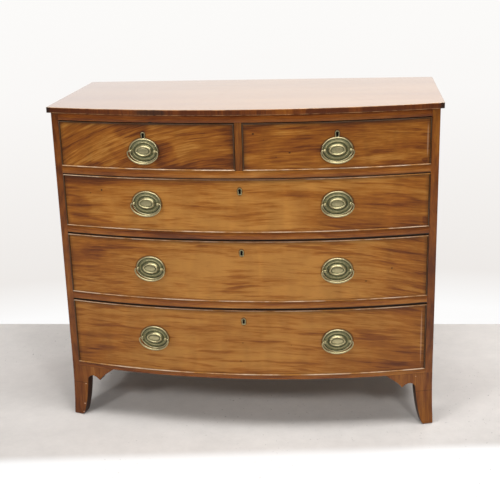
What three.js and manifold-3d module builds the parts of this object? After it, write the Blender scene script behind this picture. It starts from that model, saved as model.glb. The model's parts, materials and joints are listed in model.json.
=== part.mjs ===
// Bow front chest of drawers: two short drawers over three long ones, on splayed bracket feet.
// Millimetres. +X is to the right, +Y to the back, +Z up. The origin is on the floor, under the middle.
import * as THREE from "three";
import { mergeVertices } from "three/addons/utils/BufferGeometryUtils.js";
import Module from "manifold-3d";

const wasm = await Module();
wasm.setup();

// Top
const topWidth = 1060;
const topSideDepth = 483; // at the corners, where the bow ends
const bowRise = 78; // how far the middle of the top stands in front of its corners
const topThickness = 15.5;
const topArris = 1.2; // worn corner along the upper front edge
const topSideOverhang = 9.5;
const topFrontOverhang = 9.5;
const topBackOverhang = 3;

// Case
const sideThickness = 21;
const baseThickness = 12;
const railThickness = 20.5;
const railEndDepth = 38; // the rails are bowed in front and straight behind, so they are deeper in the middle
const topRailThickness = 20;
const openingHeights = [127.5, 149, 177, 198]; // the rows of drawers, from the top
const dividerThickness = 19;
const dustboardThickness = 9;
const backThickness = 10;
const backRebateWidth = 11;
const backPlankCount = 4;
const plankGrooveWidth = 2.5;
const plankGrooveDepth = 2;
const housingDepth = 7; // how far rails, dustboards and base run into the sides
const tenonSetback = 14; // from the front of a rail's end to its tenon
const tenonShoulder = 3;
const stopWidth = 46;
const stopLength = 30;
const stopHeight = 5;
const longStopOffset = 300; // of the long drawers' two stops from the middle
const shortStopOffset = 130; // of the short drawers' two stops from the middle of the drawer

// Feet
const footHeight = 158.5;
const footSplay = 5; // how far the toe kicks out
const toeWidth = 29.5;
const toeRound = 5; // radius of the toe's lower edges
const legTopWidth = 47;
const legTopHeight = 120;
const archCrownHeight = 131;
const cuspInset = 85;
const cuspHeight = 119;
const bracketReach = 129.5;
const bracketThickness = 27;
const rearBracketThickness = 18;
const rearBracketReach = 105;
const cornerBlockSide = 14;
const cornerBlockLift = 75;
const legCurveShares = [0.733, 0.37]; // control point of the leg's inner edge, from toe to leg top
const archCurveShare = 0.34; // control point of the arch, from leg to cusp
const ogeeCurveShares = [0.11, 0.3, 0.52, 0.6]; // two control points, from cusp to the bracket's end
const rearCurveShares = [0.25, 0.8]; // control point of the rear bracket's plain curve
const splaySteps = 4;
const toeSteps = 2;

// Drawers
const drawerSideGap = 1;
const drawerFloorGap = 0.3;
const drawerHeadGaps = [1.7, 1.7, 3, 3.4]; // over each row: the wear on the runners differs
const drawerRearGap = 12;
const frontThickness = 22;
const frontLap = 7; // wood left in front of the lapped dovetails
const drawerSideThickness = 9;
const drawerBackThickness = 9;
const drawerSideDrop = 3; // the sides stop short of the front's top edge
const drawerBackDrop = 7;
const bottomThickness = 6;
const bottomHeight = 8; // from the drawer's lower edge to the underside of its bottom
const bottomGrooveDepth = 5;
const muntinWidth = 48; // the bar between the two halves of a long drawer's bottom
const muntinThickness = 10.5;
const beadWidth = 3;
const beadProud = 2.5;
const beadRoot = 1; // how deep the beads are let into the front
const beadNoseShares = [[0.55, 1], [1, 0.5], [0.55, 0]]; // proud, then across the bead
const tailCounts = [3, 3, 4, 4]; // dovetails at each corner of a drawer, row by row
const tailMargin = 3;
const tailWidthShare = 0.72; // of the spacing: the pins between the tails are slim
const tailSlopeShare = 1 / 6;

// Locks and keyholes
const lockWidth = 52;
const lockHeight = 38;
const lockDepth = 11;
const selvageWidth = 66;
const selvageDepth = 12;
const selvageThickness = 2;
const selvageInset = 7; // from the drawer's face to the selvage
const boltWidth = 18;
const boltThickness = 6;
const boltMortiseDepth = 9;
const keyholeDrop = 30; // from the drawer's top edge to the key pin
const keyholeRadius = 2.6;
const keySlotWidth = 3.8;
const keySlotDrop = 9;
const keyholeDepth = 16;
const escutcheonRim = 3.3;
const escutcheonProud = 0.3;

// Handles
const handleOffset = 256; // of the long drawers' handles from the middle
const handleLifts = [-12, 2.7, 1.5, 3.2]; // above the middle of each opening; the short ones clear the keyhole
const plateHalfWidth = 41.5;
const plateHalfHeight = 33.5;
const bossHeight = 8;
const platePoints = 16;
// Plate mouldings from the edge inwards: share of the half height, then share of the boss's height.
const plateProfileShares = [
  [0, 0.14], [0.06, 0.4], [0.14, 0.14], [0.32, 0.3], [0.47, 0.18], [0.64, 1], [0.8, 0.66],
];
const plateCentreShare = 0.54;
const postSpacing = 68;
const pivotStandoff = 10; // from the drawer's face to the bail's axis
const headRadius = 4.6;
const headRoundShare = 0.71; // of the radius, for the ring that rounds the head off
const shankRadius = 2.3;
const nutRadius = 7;
const nutThickness = 3.5;
const pinRadius = 1.5;
const pinReach = 2; // how far the bail's pin ends short of the post's centre line, on the outer side
const bailHalfWidth = 42.5;
const bailDrop = 33.5;
const bailCornerRadius = 4.5;
const bailEndRadius = 1.9;
const bailMidRadius = 2.7;

// Making
const joinGap = 0.3; // between glued or seated pieces
const cutOverrun = 5; // how far a cutter runs past what it cuts
const bowStep = 84; // longest chord along the bow
const roundSides = 6;
const bailSides = 6;
const bailArcSteps = 8;
const bailCornerSteps = 2;
const curveSteps = 4;

// Levels and planes that follow from the sizes above
const overallDepth = topSideDepth + bowRise;
const backPlane = overallDepth / 2;
const bowRadius = ((topWidth / 2) ** 2 + bowRise ** 2) / (2 * bowRise);
const bowCentre = bowRadius - overallDepth / 2;
const faceRadius = bowRadius - topFrontOverhang;
const chordSag = bowStep ** 2 / (8 * faceRadius);
const caseHalf = topWidth / 2 - topSideOverhang;
const innerHalf = caseHalf - sideThickness;
const housedHalf = innerHalf + housingDepth - joinGap;
const caseBack = backPlane - topBackOverhang;
const backFace = caseBack - backThickness;
const openingsTotal = openingHeights.reduce((sum, h) => sum + h, 0);
const railCount = openingHeights.length - 1;
const caseTop = footHeight + baseThickness + openingsTotal + railCount * railThickness + topRailThickness;
const drawerRear = backFace - drawerRearGap;
const railBack = faceY(innerHalf, 0) + railEndDepth;
const tenonFront = faceY(innerHalf, 0) + tenonSetback;
const footTop = footHeight - joinGap;

const rows = [];
let ceiling = caseTop - topRailThickness;
for (const height of openingHeights) {
  rows.push({ ceiling, floor: ceiling - height, height });
  ceiling -= height + railThickness;
}

const mahogany = new THREE.MeshStandardMaterial({ color: 0x9a5a28, roughness: 0.3 });
const darkMahogany = new THREE.MeshStandardMaterial({ color: 0x6e3a20, roughness: 0.35 });
const lining = new THREE.MeshStandardMaterial({ color: 0xb08a5a, roughness: 0.7 });
const brass = new THREE.MeshStandardMaterial({ color: 0xa69a68, roughness: 0.35, metalness: 1 });

// Depth of the bow at x. An inset of zero is the face of the rails, and a positive one lies behind it.
function faceY(x, inset) {
  return bowCentre - Math.sqrt((faceRadius - inset) ** 2 - x * x);
}

function vector(x, y, z) {
  return new THREE.Vector3(x, y, z);
}

// A closed skin through matching outlines, each anticlockwise seen from the end that the skin runs to.
function loft(sections) {
  const count = sections[0].length;
  const origin = sections[0][0];
  const along = sections[0][1].clone().sub(origin).normalize();
  const normal = vector(0, 0, 0);
  for (let j = 1; j < count - 1; j++) {
    const a = sections[0][j].clone().sub(origin);
    normal.add(a.cross(sections[0][j + 1].clone().sub(origin)));
  }
  const across = normal.normalize().clone().cross(along);
  const flat = sections[0].map((p) => {
    const q = p.clone().sub(origin);
    return new THREE.Vector2(q.dot(along), q.dot(across));
  });
  const cap = THREE.ShapeUtils.triangulateShape(flat, []);
  const index = [];
  for (const [a, b, c] of cap) index.push(a, c, b);
  for (let i = 0; i < sections.length - 1; i++) {
    for (let j = 0; j < count; j++) {
      const next = (j + 1) % count;
      const a = i * count + j;
      const b = i * count + next;
      index.push(a, b, b + count, a, b + count, a + count);
    }
  }
  const last = (sections.length - 1) * count;
  for (const [a, b, c] of cap) index.push(last + a, last + b, last + c);
  const geometry = new THREE.BufferGeometry().setFromPoints(sections.flat());
  geometry.setIndex(index);
  return geometry;
}

// A board or strip from x0 to x1 whose outline outlineAt(x) holds [y, z] points, anticlockwise seen from +X.
function acrossBow(x0, x1, outlineAt) {
  return loft(bowStations(x0, x1).map((x) => outlineAt(x).map(([y, z]) => vector(x, y, z))));
}

// Where the chords of a bowed piece meet. Every piece shares the same places, so neighbours lie parallel.
function bowStations(x0, x1) {
  const least = bowStep / 10;
  const between = [];
  for (let x = Math.ceil((x0 + least) / bowStep) * bowStep; x <= x1 - least; x += bowStep) between.push(x);
  return [x0, ...between, x1];
}

function bowLine(x0, x1, inset) {
  return bowStations(x0, x1).map((x) => [x, faceY(x, inset)]);
}

// An upright prism over an outline of [x, y] points.
function prismUp(points, z0, z1) {
  const shape = new THREE.Shape(points.map(([x, y]) => new THREE.Vector2(x, y)));
  return new THREE.ExtrudeGeometry(shape, { depth: z1 - z0, bevelEnabled: false }).translate(0, 0, z0);
}

// A board with a bowed front edge and a straight back edge.
function bowedBoard(x0, x1, frontInset, back, z0, z1) {
  return prismUp([...bowLine(x0, x1, frontInset), [x1, back], [x0, back]], z0, z1);
}

// A board whose front and back both follow the bow.
function bowedSlab(x0, x1, frontInset, backInset, z0, z1) {
  return prismUp([...bowLine(x0, x1, frontInset), ...bowLine(x0, x1, backInset).reverse()], z0, z1);
}

function block(x0, x1, y0, y1, z0, z1) {
  const geometry = new THREE.BoxGeometry(x1 - x0, y1 - y0, z1 - z0);
  return geometry.translate((x0 + x1) / 2, (y0 + y1) / 2, (z0 + z1) / 2);
}

// A prism along X from an outline of (y, z) points.
function prismAlongX(points, x0, x1) {
  const shape = new THREE.Shape(points.map(([y, z]) => new THREE.Vector2(y, z)));
  const geometry = new THREE.ExtrudeGeometry(shape, { depth: x1 - x0, bevelEnabled: false });
  const basis = new THREE.Matrix4().makeBasis(vector(0, 1, 0), vector(0, 0, 1), vector(1, 0, 0));
  return geometry.applyMatrix4(basis).translate(x0, 0, 0);
}

// A prism along Y, from y0 back to y1, from a shape drawn in x and z.
function prismAlongY(shape, y0, y1) {
  const geometry = new THREE.ExtrudeGeometry(shape, {
    depth: y1 - y0, bevelEnabled: false, curveSegments: curveSteps,
  });
  return geometry.rotateX(Math.PI / 2).translate(0, y1, 0);
}

function cylinderAlongY(radius, y0, y1, x, z) {
  const geometry = new THREE.CylinderGeometry(radius, radius, y1 - y0, roundSides);
  return geometry.translate(0, (y0 + y1) / 2, 0).translate(x, 0, z);
}

function cylinderAlongX(radius, x0, x1, y) {
  const geometry = new THREE.CylinderGeometry(radius, radius, x1 - x0, roundSides);
  return geometry.rotateZ(Math.PI / 2).translate((x0 + x1) / 2, y, 0);
}

function solidOf(geometry) {
  const bare = geometry.clone();
  bare.deleteAttribute("normal");
  bare.deleteAttribute("uv");
  const merged = mergeVertices(bare);
  return new wasm.Manifold(new wasm.Mesh({
    numProp: 3,
    vertProperties: new Float32Array(merged.attributes.position.array),
    triVerts: new Uint32Array(merged.index.array),
  }));
}

function joined(...geometries) {
  return geometries.map(solidOf).reduce((sum, next) => sum.add(next));
}

function cut(solid, ...geometries) {
  return geometries.reduce((rest, cutter) => rest.subtract(solidOf(cutter)), solid);
}

function geometryOf(solid) {
  const mesh = solid.getMesh();
  const geometry = new THREE.BufferGeometry();
  geometry.setAttribute("position", new THREE.BufferAttribute(mesh.vertProperties, 3));
  geometry.setIndex(new THREE.BufferAttribute(mesh.triVerts, 1));
  return geometry;
}

function piece(name, shape, material) {
  const geometry = shape.isBufferGeometry ? shape : geometryOf(shape);
  const mesh = new THREE.Mesh(geometry, material);
  mesh.name = name;
  return mesh;
}

// Where a fitting sits on the bow: its own -Y points straight out of the drawer's face.
function fittingFrame(x, z) {
  const turn = Math.asin(x / faceRadius);
  const frame = new THREE.Matrix4().makeRotationZ(turn);
  return frame.setPosition(x, faceY(x, 0), z);
}

// Top board, with the worn arris along its upper front edge.
function makeTop() {
  const z0 = caseTop + joinGap;
  const z1 = caseTop + topThickness;
  return acrossBow(-topWidth / 2, topWidth / 2, (x) => {
    const front = faceY(x, -topFrontOverhang);
    return [[front, z0], [backPlane, z0], [backPlane, z1], [front + topArris, z1], [front, z1 - topArris]];
  });
}

// Tenons at both ends of a rail, and the mortises in the sides that take them. The gap widens the mortises.
function tenons(z0, z1, gap) {
  const half = housedHalf + gap;
  return block(-half, half, tenonFront - gap, railBack + gap, z0 + tenonShoulder - gap, z1 - tenonShoulder + gap);
}

// The dustboard is flush with the top of its rail and tongued into the rail's back edge.
function housedDustboard(top, gap) {
  const half = housedHalf + gap;
  const front = railBack - cutOverrun - gap;
  return block(-half, half, front, backFace - joinGap, top - dustboardThickness - gap, top + gap);
}

function boltMortise(x, underside) {
  const middle = selvageInset + selvageDepth / 2;
  const cutter = block(
    -boltWidth / 2, boltWidth / 2, middle - boltThickness / 2, middle + boltThickness / 2,
    -cutOverrun, boltMortiseDepth,
  );
  return cutter.applyMatrix4(fittingFrame(x, underside));
}

// The two stops that a closed drawer's front meets, glued to what the drawer runs on.
function stopsFor(middles, offset, top) {
  return middles.flatMap((middle) => [-offset, offset].map((side) => {
    const x = middle + side;
    const outer = Math.abs(x) + stopWidth / 2;
    const front = faceY(outer, frontThickness) + chordSag + joinGap;
    return block(
      x - stopWidth / 2, x + stopWidth / 2, front, front + stopLength, top - dustboardThickness / 2, top + stopHeight,
    );
  }));
}

const shortMiddle = (innerHalf + dividerThickness / 2) / 2;

function stopsOfRow(row, top) {
  return row === 0
    ? stopsFor([-shortMiddle, shortMiddle], shortStopOffset, top)
    : stopsFor([0], longStopOffset, top);
}

function keyholesOfRow(row) {
  return row === 0 ? [-handleOffset, handleOffset] : [0];
}

function makeTopRail() {
  const z0 = rows[0].ceiling;
  const z1 = caseTop - joinGap;
  const half = innerHalf - joinGap;
  const rail = joined(bowedBoard(-half, half, 0, railBack, z0, z1), tenons(z0, z1, 0));
  return cut(rail, ...keyholesOfRow(0).map((x) => boltMortise(x, z0)));
}

// The rail under a row, with its dustboard and the drawer stops glued to it.
function makeRail(row) {
  const top = rows[row].floor;
  const bottom = top - railThickness;
  const half = innerHalf - joinGap;
  const rail = joined(
    bowedBoard(-half, half, 0, railBack, bottom, top),
    tenons(bottom, top, 0),
    housedDustboard(top, 0),
    ...stopsOfRow(row, top),
  );
  return cut(rail, ...keyholesOfRow(row + 1).map((x) => boltMortise(x, bottom)));
}

// Bottom of the case: its bowed front edge is the thin rail under the lowest drawer.
function makeBase() {
  const lowest = rows.length - 1;
  const top = rows[lowest].floor;
  const half = innerHalf - joinGap;
  return joined(
    bowedBoard(-half, half, 0, backFace - joinGap, footHeight, top),
    block(-housedHalf, housedHalf, tenonFront, backFace - joinGap, footHeight, top),
    ...stopsOfRow(lowest, top),
  );
}

// Right side of the case. The left side is its mirror image.
function makeSide() {
  const z1 = caseTop;
  const board = joined(bowedBoard(innerHalf, caseHalf, 0, caseBack, footHeight, z1));
  const cutters = rows.slice(0, railCount).flatMap(({ floor }) => [
    tenons(floor - railThickness, floor, joinGap),
    housedDustboard(floor, joinGap),
  ]);
  const top = rows[0].ceiling;
  const baseTop = footHeight + baseThickness;
  return cut(
    board,
    ...cutters,
    tenons(top, z1 - joinGap, joinGap),
    block(
      0, housedHalf + joinGap, tenonFront - joinGap, backFace, footHeight - cutOverrun, baseTop + joinGap,
    ),
    block(0, caseHalf - backRebateWidth, backFace - joinGap, caseBack + cutOverrun, footHeight - cutOverrun, z1 + cutOverrun),
  );
}

// Upright between the short drawers. Behind the top rail it reaches up to the top.
function makeDivider() {
  const z0 = rows[0].floor + joinGap;
  const half = dividerThickness / 2;
  const back = backFace - joinGap;
  return joined(
    bowedBoard(-half, half, 0, back, z0, rows[0].ceiling - joinGap),
    block(-half, half, railBack + joinGap, back, z0, caseTop - joinGap),
  );
}

function makeBack() {
  const half = caseHalf - backRebateWidth - joinGap;
  const z0 = footHeight + joinGap;
  const z1 = caseTop - joinGap;
  const board = joined(block(-half, half, backFace, caseBack, z0, z1));
  const grooves = [];
  for (let i = 1; i < backPlankCount; i++) {
    const z = z0 + ((z1 - z0) * i) / backPlankCount;
    grooves.push(prismAlongX([
      [caseBack - plankGrooveDepth, z], [caseBack + plankGrooveDepth, z - plankGrooveWidth],
      [caseBack + plankGrooveDepth, z + plankGrooveWidth],
    ], -half - cutOverrun, half + cutOverrun));
  }
  return cut(board, ...grooves);
}

// How far a foot's faces stand out at height z. They kick out towards the toe, whose lower edge is rounded.
function splayAt(z) {
  return footSplay * (1 - z / footHeight) ** 2 - roundingAt(z);
}

// How far the toe's lower edge has fallen back at height z.
function roundingAt(z) {
  const below = Math.max(toeRound - z, 0);
  return toeRound - Math.sqrt(toeRound ** 2 - below ** 2);
}

// Outline of a shaped bracket: x is the distance in from the outer edge, y the height.
function bracketOutline() {
  const shape = new THREE.Shape();
  const toeLevels = [];
  for (let i = 0; i <= toeSteps; i++) toeLevels.push(toeRound * (1 - Math.cos((Math.PI / 2) * (i / toeSteps))));
  shape.moveTo(0, footTop);
  for (let i = 1; i < splaySteps; i++) {
    const z = footTop * (1 - i / splaySteps);
    shape.lineTo(-splayAt(z), z);
  }
  for (const z of [...toeLevels].reverse()) shape.lineTo(-splayAt(z), z);
  const toeInner = toeWidth - footSplay;
  const legRun = legTopWidth - toeInner;
  for (const z of toeLevels) shape.lineTo(toeInner - roundingAt(z), z);
  shape.quadraticCurveTo(
    toeInner + legRun * legCurveShares[0], legTopHeight * legCurveShares[1], legTopWidth, legTopHeight,
  );
  const archRun = cuspInset - legTopWidth;
  const archControl = 2 * archCrownHeight - (legTopHeight + cuspHeight) / 2;
  shape.quadraticCurveTo(legTopWidth + archRun * archCurveShare, archControl, cuspInset, cuspHeight);
  const ogeeRun = bracketReach - cuspInset;
  const ogeeRise = footTop - cuspHeight;
  shape.bezierCurveTo(
    cuspInset + ogeeRun * ogeeCurveShares[0], cuspHeight + ogeeRise * ogeeCurveShares[1],
    cuspInset + ogeeRun * ogeeCurveShares[2], cuspHeight + ogeeRise * ogeeCurveShares[3],
    bracketReach, footTop,
  );
  shape.closePath();
  return shape;
}

// Moves each vertex of a bracket to where place(in, up, through) says. A mirrored place turns the faces back.
function placed(outline, thickness, mirrored, place) {
  const geometry = new THREE.ExtrudeGeometry(outline, {
    depth: thickness, bevelEnabled: false, curveSegments: curveSteps,
  });
  const position = geometry.attributes.position;
  for (let i = 0; i < position.count; i++) {
    const [x, y, z] = place(position.getX(i), position.getY(i), position.getZ(i));
    position.setXYZ(i, x, y, z);
  }
  if (mirrored) {
    for (let i = 0; i < position.count; i += 3) {
      const [x, y, z] = [position.getX(i), position.getY(i), position.getZ(i)];
      position.setXYZ(i, position.getX(i + 1), position.getY(i + 1), position.getZ(i + 1));
      position.setXYZ(i + 1, x, y, z);
    }
  }
  return geometry;
}

// Front right foot: a bracket bent along the bow, one along the side, and the block glued into their corner.
function makeFrontFoot() {
  const corner = faceY(caseHalf, 0);
  const bowed = placed(bracketOutline(), bracketThickness, false, (inwards, up, through) => {
    const turn = Math.asin((caseHalf - inwards) / faceRadius);
    const radius = faceRadius - through + splayAt(up);
    const x = Math.min(radius * Math.sin(turn), caseHalf + splayAt(up) - joinGap);
    return [x, bowCentre - radius * Math.cos(turn), up];
  });
  const straight = placed(bracketOutline(), bracketThickness, true, (inwards, up, through) => [
    caseHalf - through + splayAt(up), corner + inwards, up,
  ]);
  const inner = caseHalf - bracketThickness;
  const front = faceY(inner, bracketThickness);
  const corners = block(
    inner - cornerBlockSide, inner + joinGap, front - joinGap, front + cornerBlockSide, cornerBlockLift, footTop,
  );
  return joined(bowed, straight, corners);
}

// Back right foot: the same bracket along the side, and a plain one across the back. Its back edge is upright.
function makeBackFoot() {
  const straight = placed(bracketOutline(), bracketThickness, false, (inwards, up, through) => [
    caseHalf - through + splayAt(up), caseBack - Math.max(inwards, 0), up,
  ]);
  const plain = new THREE.Shape();
  plain.moveTo(0, 0);
  plain.lineTo(toeWidth, 0);
  const run = rearBracketReach - toeWidth;
  plain.quadraticCurveTo(toeWidth + run * rearCurveShares[0], footTop * rearCurveShares[1], rearBracketReach, footTop);
  plain.lineTo(0, footTop);
  plain.closePath();
  const across = placed(plain, rearBracketThickness, true, (inwards, up, through) => [
    caseHalf - bracketThickness / 2 - inwards, caseBack - through, up,
  ]);
  const inner = caseHalf - bracketThickness;
  const behind = caseBack - rearBracketThickness;
  const corners = block(
    inner - cornerBlockSide, inner + joinGap, behind - cornerBlockSide, behind + joinGap, cornerBlockLift, footTop,
  );
  return joined(straight, across, corners);
}

// Dovetails on the end of a drawer side: they widen away from the shoulder, towards -Y or +Y.
function tails(x0, x1, shoulder, towards, length, z0, z1, count, gap) {
  const pitch = (z1 - z0) / count;
  const near = -cutOverrun;
  const far = length + cutOverrun;
  return Array.from({ length: count }, (_, i) => {
    const z = z0 + pitch * (i + 1 / 2);
    const half = (pitch * tailWidthShare) / 2 + gap;
    const nearHalf = half + near * tailSlopeShare;
    const farHalf = half + far * tailSlopeShare;
    return prismAlongX([
      [shoulder + towards * near, z - nearHalf], [shoulder + towards * far, z - farHalf],
      [shoulder + towards * far, z + farHalf], [shoulder + towards * near, z + nearHalf],
    ], x0, x1);
  });
}

function bead(x0, x1, z0) {
  return acrossBow(x0, x1, (x) => [
    [faceY(x, beadRoot), z0],
    [faceY(x, beadRoot), z0 + beadWidth],
    ...beadNoseShares.map(([proud, up]) => [faceY(x, -beadProud * proud), z0 + beadWidth * up]),
  ]);
}

// Upright bead at a drawer's end. Inwards is +1 at the left end and -1 at the right end.
function endBead(end, inwards, height) {
  const points = [
    [end, faceY(end, beadRoot)],
    ...[...beadNoseShares].reverse().map(([proud, across]) => {
      const x = end + inwards * beadWidth * across;
      return [x, faceY(x, -beadProud * proud)];
    }),
    [end + inwards * beadWidth, faceY(end + inwards * beadWidth, beadRoot)],
  ];
  return prismUp(points, 0, height);
}

// Keyhole outline with its round end at the origin, in x and z.
function keyholeShape(radius, slotHalf, drop) {
  const shape = new THREE.Shape();
  const slotAngle = Math.asin(slotHalf / radius);
  shape.absarc(0, 0, radius, -Math.PI / 2 + slotAngle, (3 * Math.PI) / 2 - slotAngle, false);
  shape.lineTo(-slotHalf, -drop);
  shape.lineTo(slotHalf, -drop);
  shape.closePath();
  return shape;
}

function escutcheonBar(grow, y0, y1) {
  const rim = escutcheonRim + grow;
  return prismAlongY(keyholeShape(keyholeRadius + rim, keySlotWidth / 2 + rim, keySlotDrop + rim), y0, y1);
}

// Lock in its own frame: the drawer's face is y = 0 and its top edge is z = 0. The bolt is drawn back.
function lockBody(grow) {
  const back = frontThickness + (grow ? cutOverrun : 0);
  const top = grow ? cutOverrun : -joinGap;
  const keyUp = (geometry) => geometry.translate(0, 0, -keyholeDrop);
  return joined(
    block(
      -lockWidth / 2 - grow, lockWidth / 2 + grow, frontThickness - lockDepth - grow, back,
      -lockHeight - grow, top,
    ),
    block(
      -selvageWidth / 2 - grow, selvageWidth / 2 + grow, selvageInset - grow, back,
      -selvageThickness - joinGap - grow, top,
    ),
    keyUp(escutcheonBar(grow, grow ? -cutOverrun : -escutcheonProud, frontThickness - lockDepth + joinGap)),
  );
}

function makeLock() {
  const hole = prismAlongY(keyholeShape(keyholeRadius, keySlotWidth / 2, keySlotDrop), -cutOverrun, keyholeDepth);
  return cut(lockBody(0), hole.translate(0, 0, -keyholeDrop));
}

// Stamped oval plate: rings of vertices set in from the edge, each at its own height off the drawer.
function platePress() {
  const points = [vector(0, -joinGap, 0)];
  const ring = (inset, out) => {
    for (let i = 0; i < platePoints; i++) {
      const angle = (2 * Math.PI * i) / platePoints;
      points.push(vector(
        (plateHalfWidth - inset) * Math.cos(angle), -out, (plateHalfHeight - inset) * Math.sin(angle),
      ));
    }
  };
  ring(0, joinGap);
  for (const [insetShare, outShare] of plateProfileShares) ring(plateHalfHeight * insetShare, bossHeight * outShare);
  points.push(vector(0, -bossHeight * plateCentreShare, 0));
  const index = [];
  const rings = plateProfileShares.length + 1;
  const crown = points.length - 1;
  for (let i = 0; i < platePoints; i++) {
    const next = (i + 1) % platePoints;
    index.push(0, 1 + next, 1 + i);
    for (let r = 0; r < rings - 1; r++) {
      const a = 1 + r * platePoints + i;
      const b = 1 + r * platePoints + next;
      index.push(a, b, b + platePoints, a, b + platePoints, a + platePoints);
    }
    const outer = 1 + (rings - 1) * platePoints;
    index.push(crown, outer + i, outer + next);
  }
  const geometry = new THREE.BufferGeometry().setFromPoints(points);
  geometry.setIndex(index);
  return geometry;
}

// Plate with its two posts, in the fitting's frame. Each post's shank runs through the front to its nut,
// which clears the bow behind it.
function makePlate() {
  const bowFall = (postSpacing / 2 + nutRadius) ** 2 / (2 * faceRadius) + chordSag;
  const inside = frontThickness + bowFall + joinGap;
  const neck = pivotStandoff - Math.sqrt(headRadius ** 2 - shankRadius ** 2);
  const post = [
    [0, inside + nutThickness], [nutRadius, inside + nutThickness], [nutRadius, inside], [shankRadius, inside],
    [shankRadius, -neck], [headRadius, -pivotStandoff],
    [headRadius * headRoundShare, -pivotStandoff - headRadius * headRoundShare], [0, -pivotStandoff - headRadius],
  ];
  const profile = post.map(([radius, y]) => new THREE.Vector2(radius, y)).reverse();
  const parts = [platePress()];
  for (const x of [-postSpacing / 2, postSpacing / 2]) {
    parts.push(new THREE.LatheGeometry(profile, roundSides).translate(x, 0, 0));
  }
  const reach = postSpacing / 2 + headRadius + cutOverrun;
  const bore = pinRadius + joinGap;
  const bottomOfBore = postSpacing / 2 + pinReach - 2 * joinGap;
  return cut(
    joined(...parts),
    cylinderAlongX(bore, bottomOfBore, reach, -pivotStandoff),
    cylinderAlongX(bore, -reach, -bottomOfBore, -pivotStandoff),
  );
}

// Swing handle: one rod from pin to pin, thickest in the middle. Its axis is the fitting's X at y = -pivotStandoff.
function makeBail() {
  const start = postSpacing / 2 + pinReach;
  const turnX = bailHalfWidth - bailCornerRadius;
  const stations = [{ x: start, z: 0, radius: pinRadius }];
  for (let i = 0; i <= bailCornerSteps; i++) {
    const angle = (Math.PI / 2) * (i / bailCornerSteps);
    const radius = pinRadius + (bailEndRadius - pinRadius) * (i / bailCornerSteps);
    stations.push({
      x: turnX + bailCornerRadius * Math.sin(angle), z: -bailCornerRadius * (1 - Math.cos(angle)), radius,
    });
  }
  for (let i = 1; i < bailArcSteps; i++) {
    const angle = (Math.PI * i) / bailArcSteps;
    stations.push({
      x: bailHalfWidth * Math.cos(angle),
      z: -bailCornerRadius - (bailDrop - bailCornerRadius) * Math.sin(angle),
      radius: bailEndRadius + (bailMidRadius - bailEndRadius) * Math.sin(angle) ** 2,
    });
  }
  for (let i = bailCornerSteps; i >= 0; i--) {
    const { x, z, radius } = stations[i + 1];
    stations.push({ x: -x, z, radius });
  }
  stations.push({ x: -start, z: 0, radius: pinRadius });
  const sections = stations.map(({ x, z, radius }, i) => {
    const before = stations[Math.max(0, i - 1)];
    const after = stations[Math.min(stations.length - 1, i + 1)];
    const tangent = vector(after.x - before.x, 0, after.z - before.z).normalize();
    const through = vector(0, 1, 0);
    const across = through.clone().cross(tangent);
    return Array.from({ length: bailSides }, (_, k) => {
      const angle = (2 * Math.PI * k) / bailSides;
      return vector(x, -pivotStandoff, z)
        .addScaledVector(across, radius * Math.cos(angle))
        .addScaledVector(through, radius * Math.sin(angle));
    });
  });
  return loft(sections);
}

const plateGeometry = geometryOf(makePlate());
const bailGeometry = makeBail();
const lockGeometry = geometryOf(makeLock());

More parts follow.
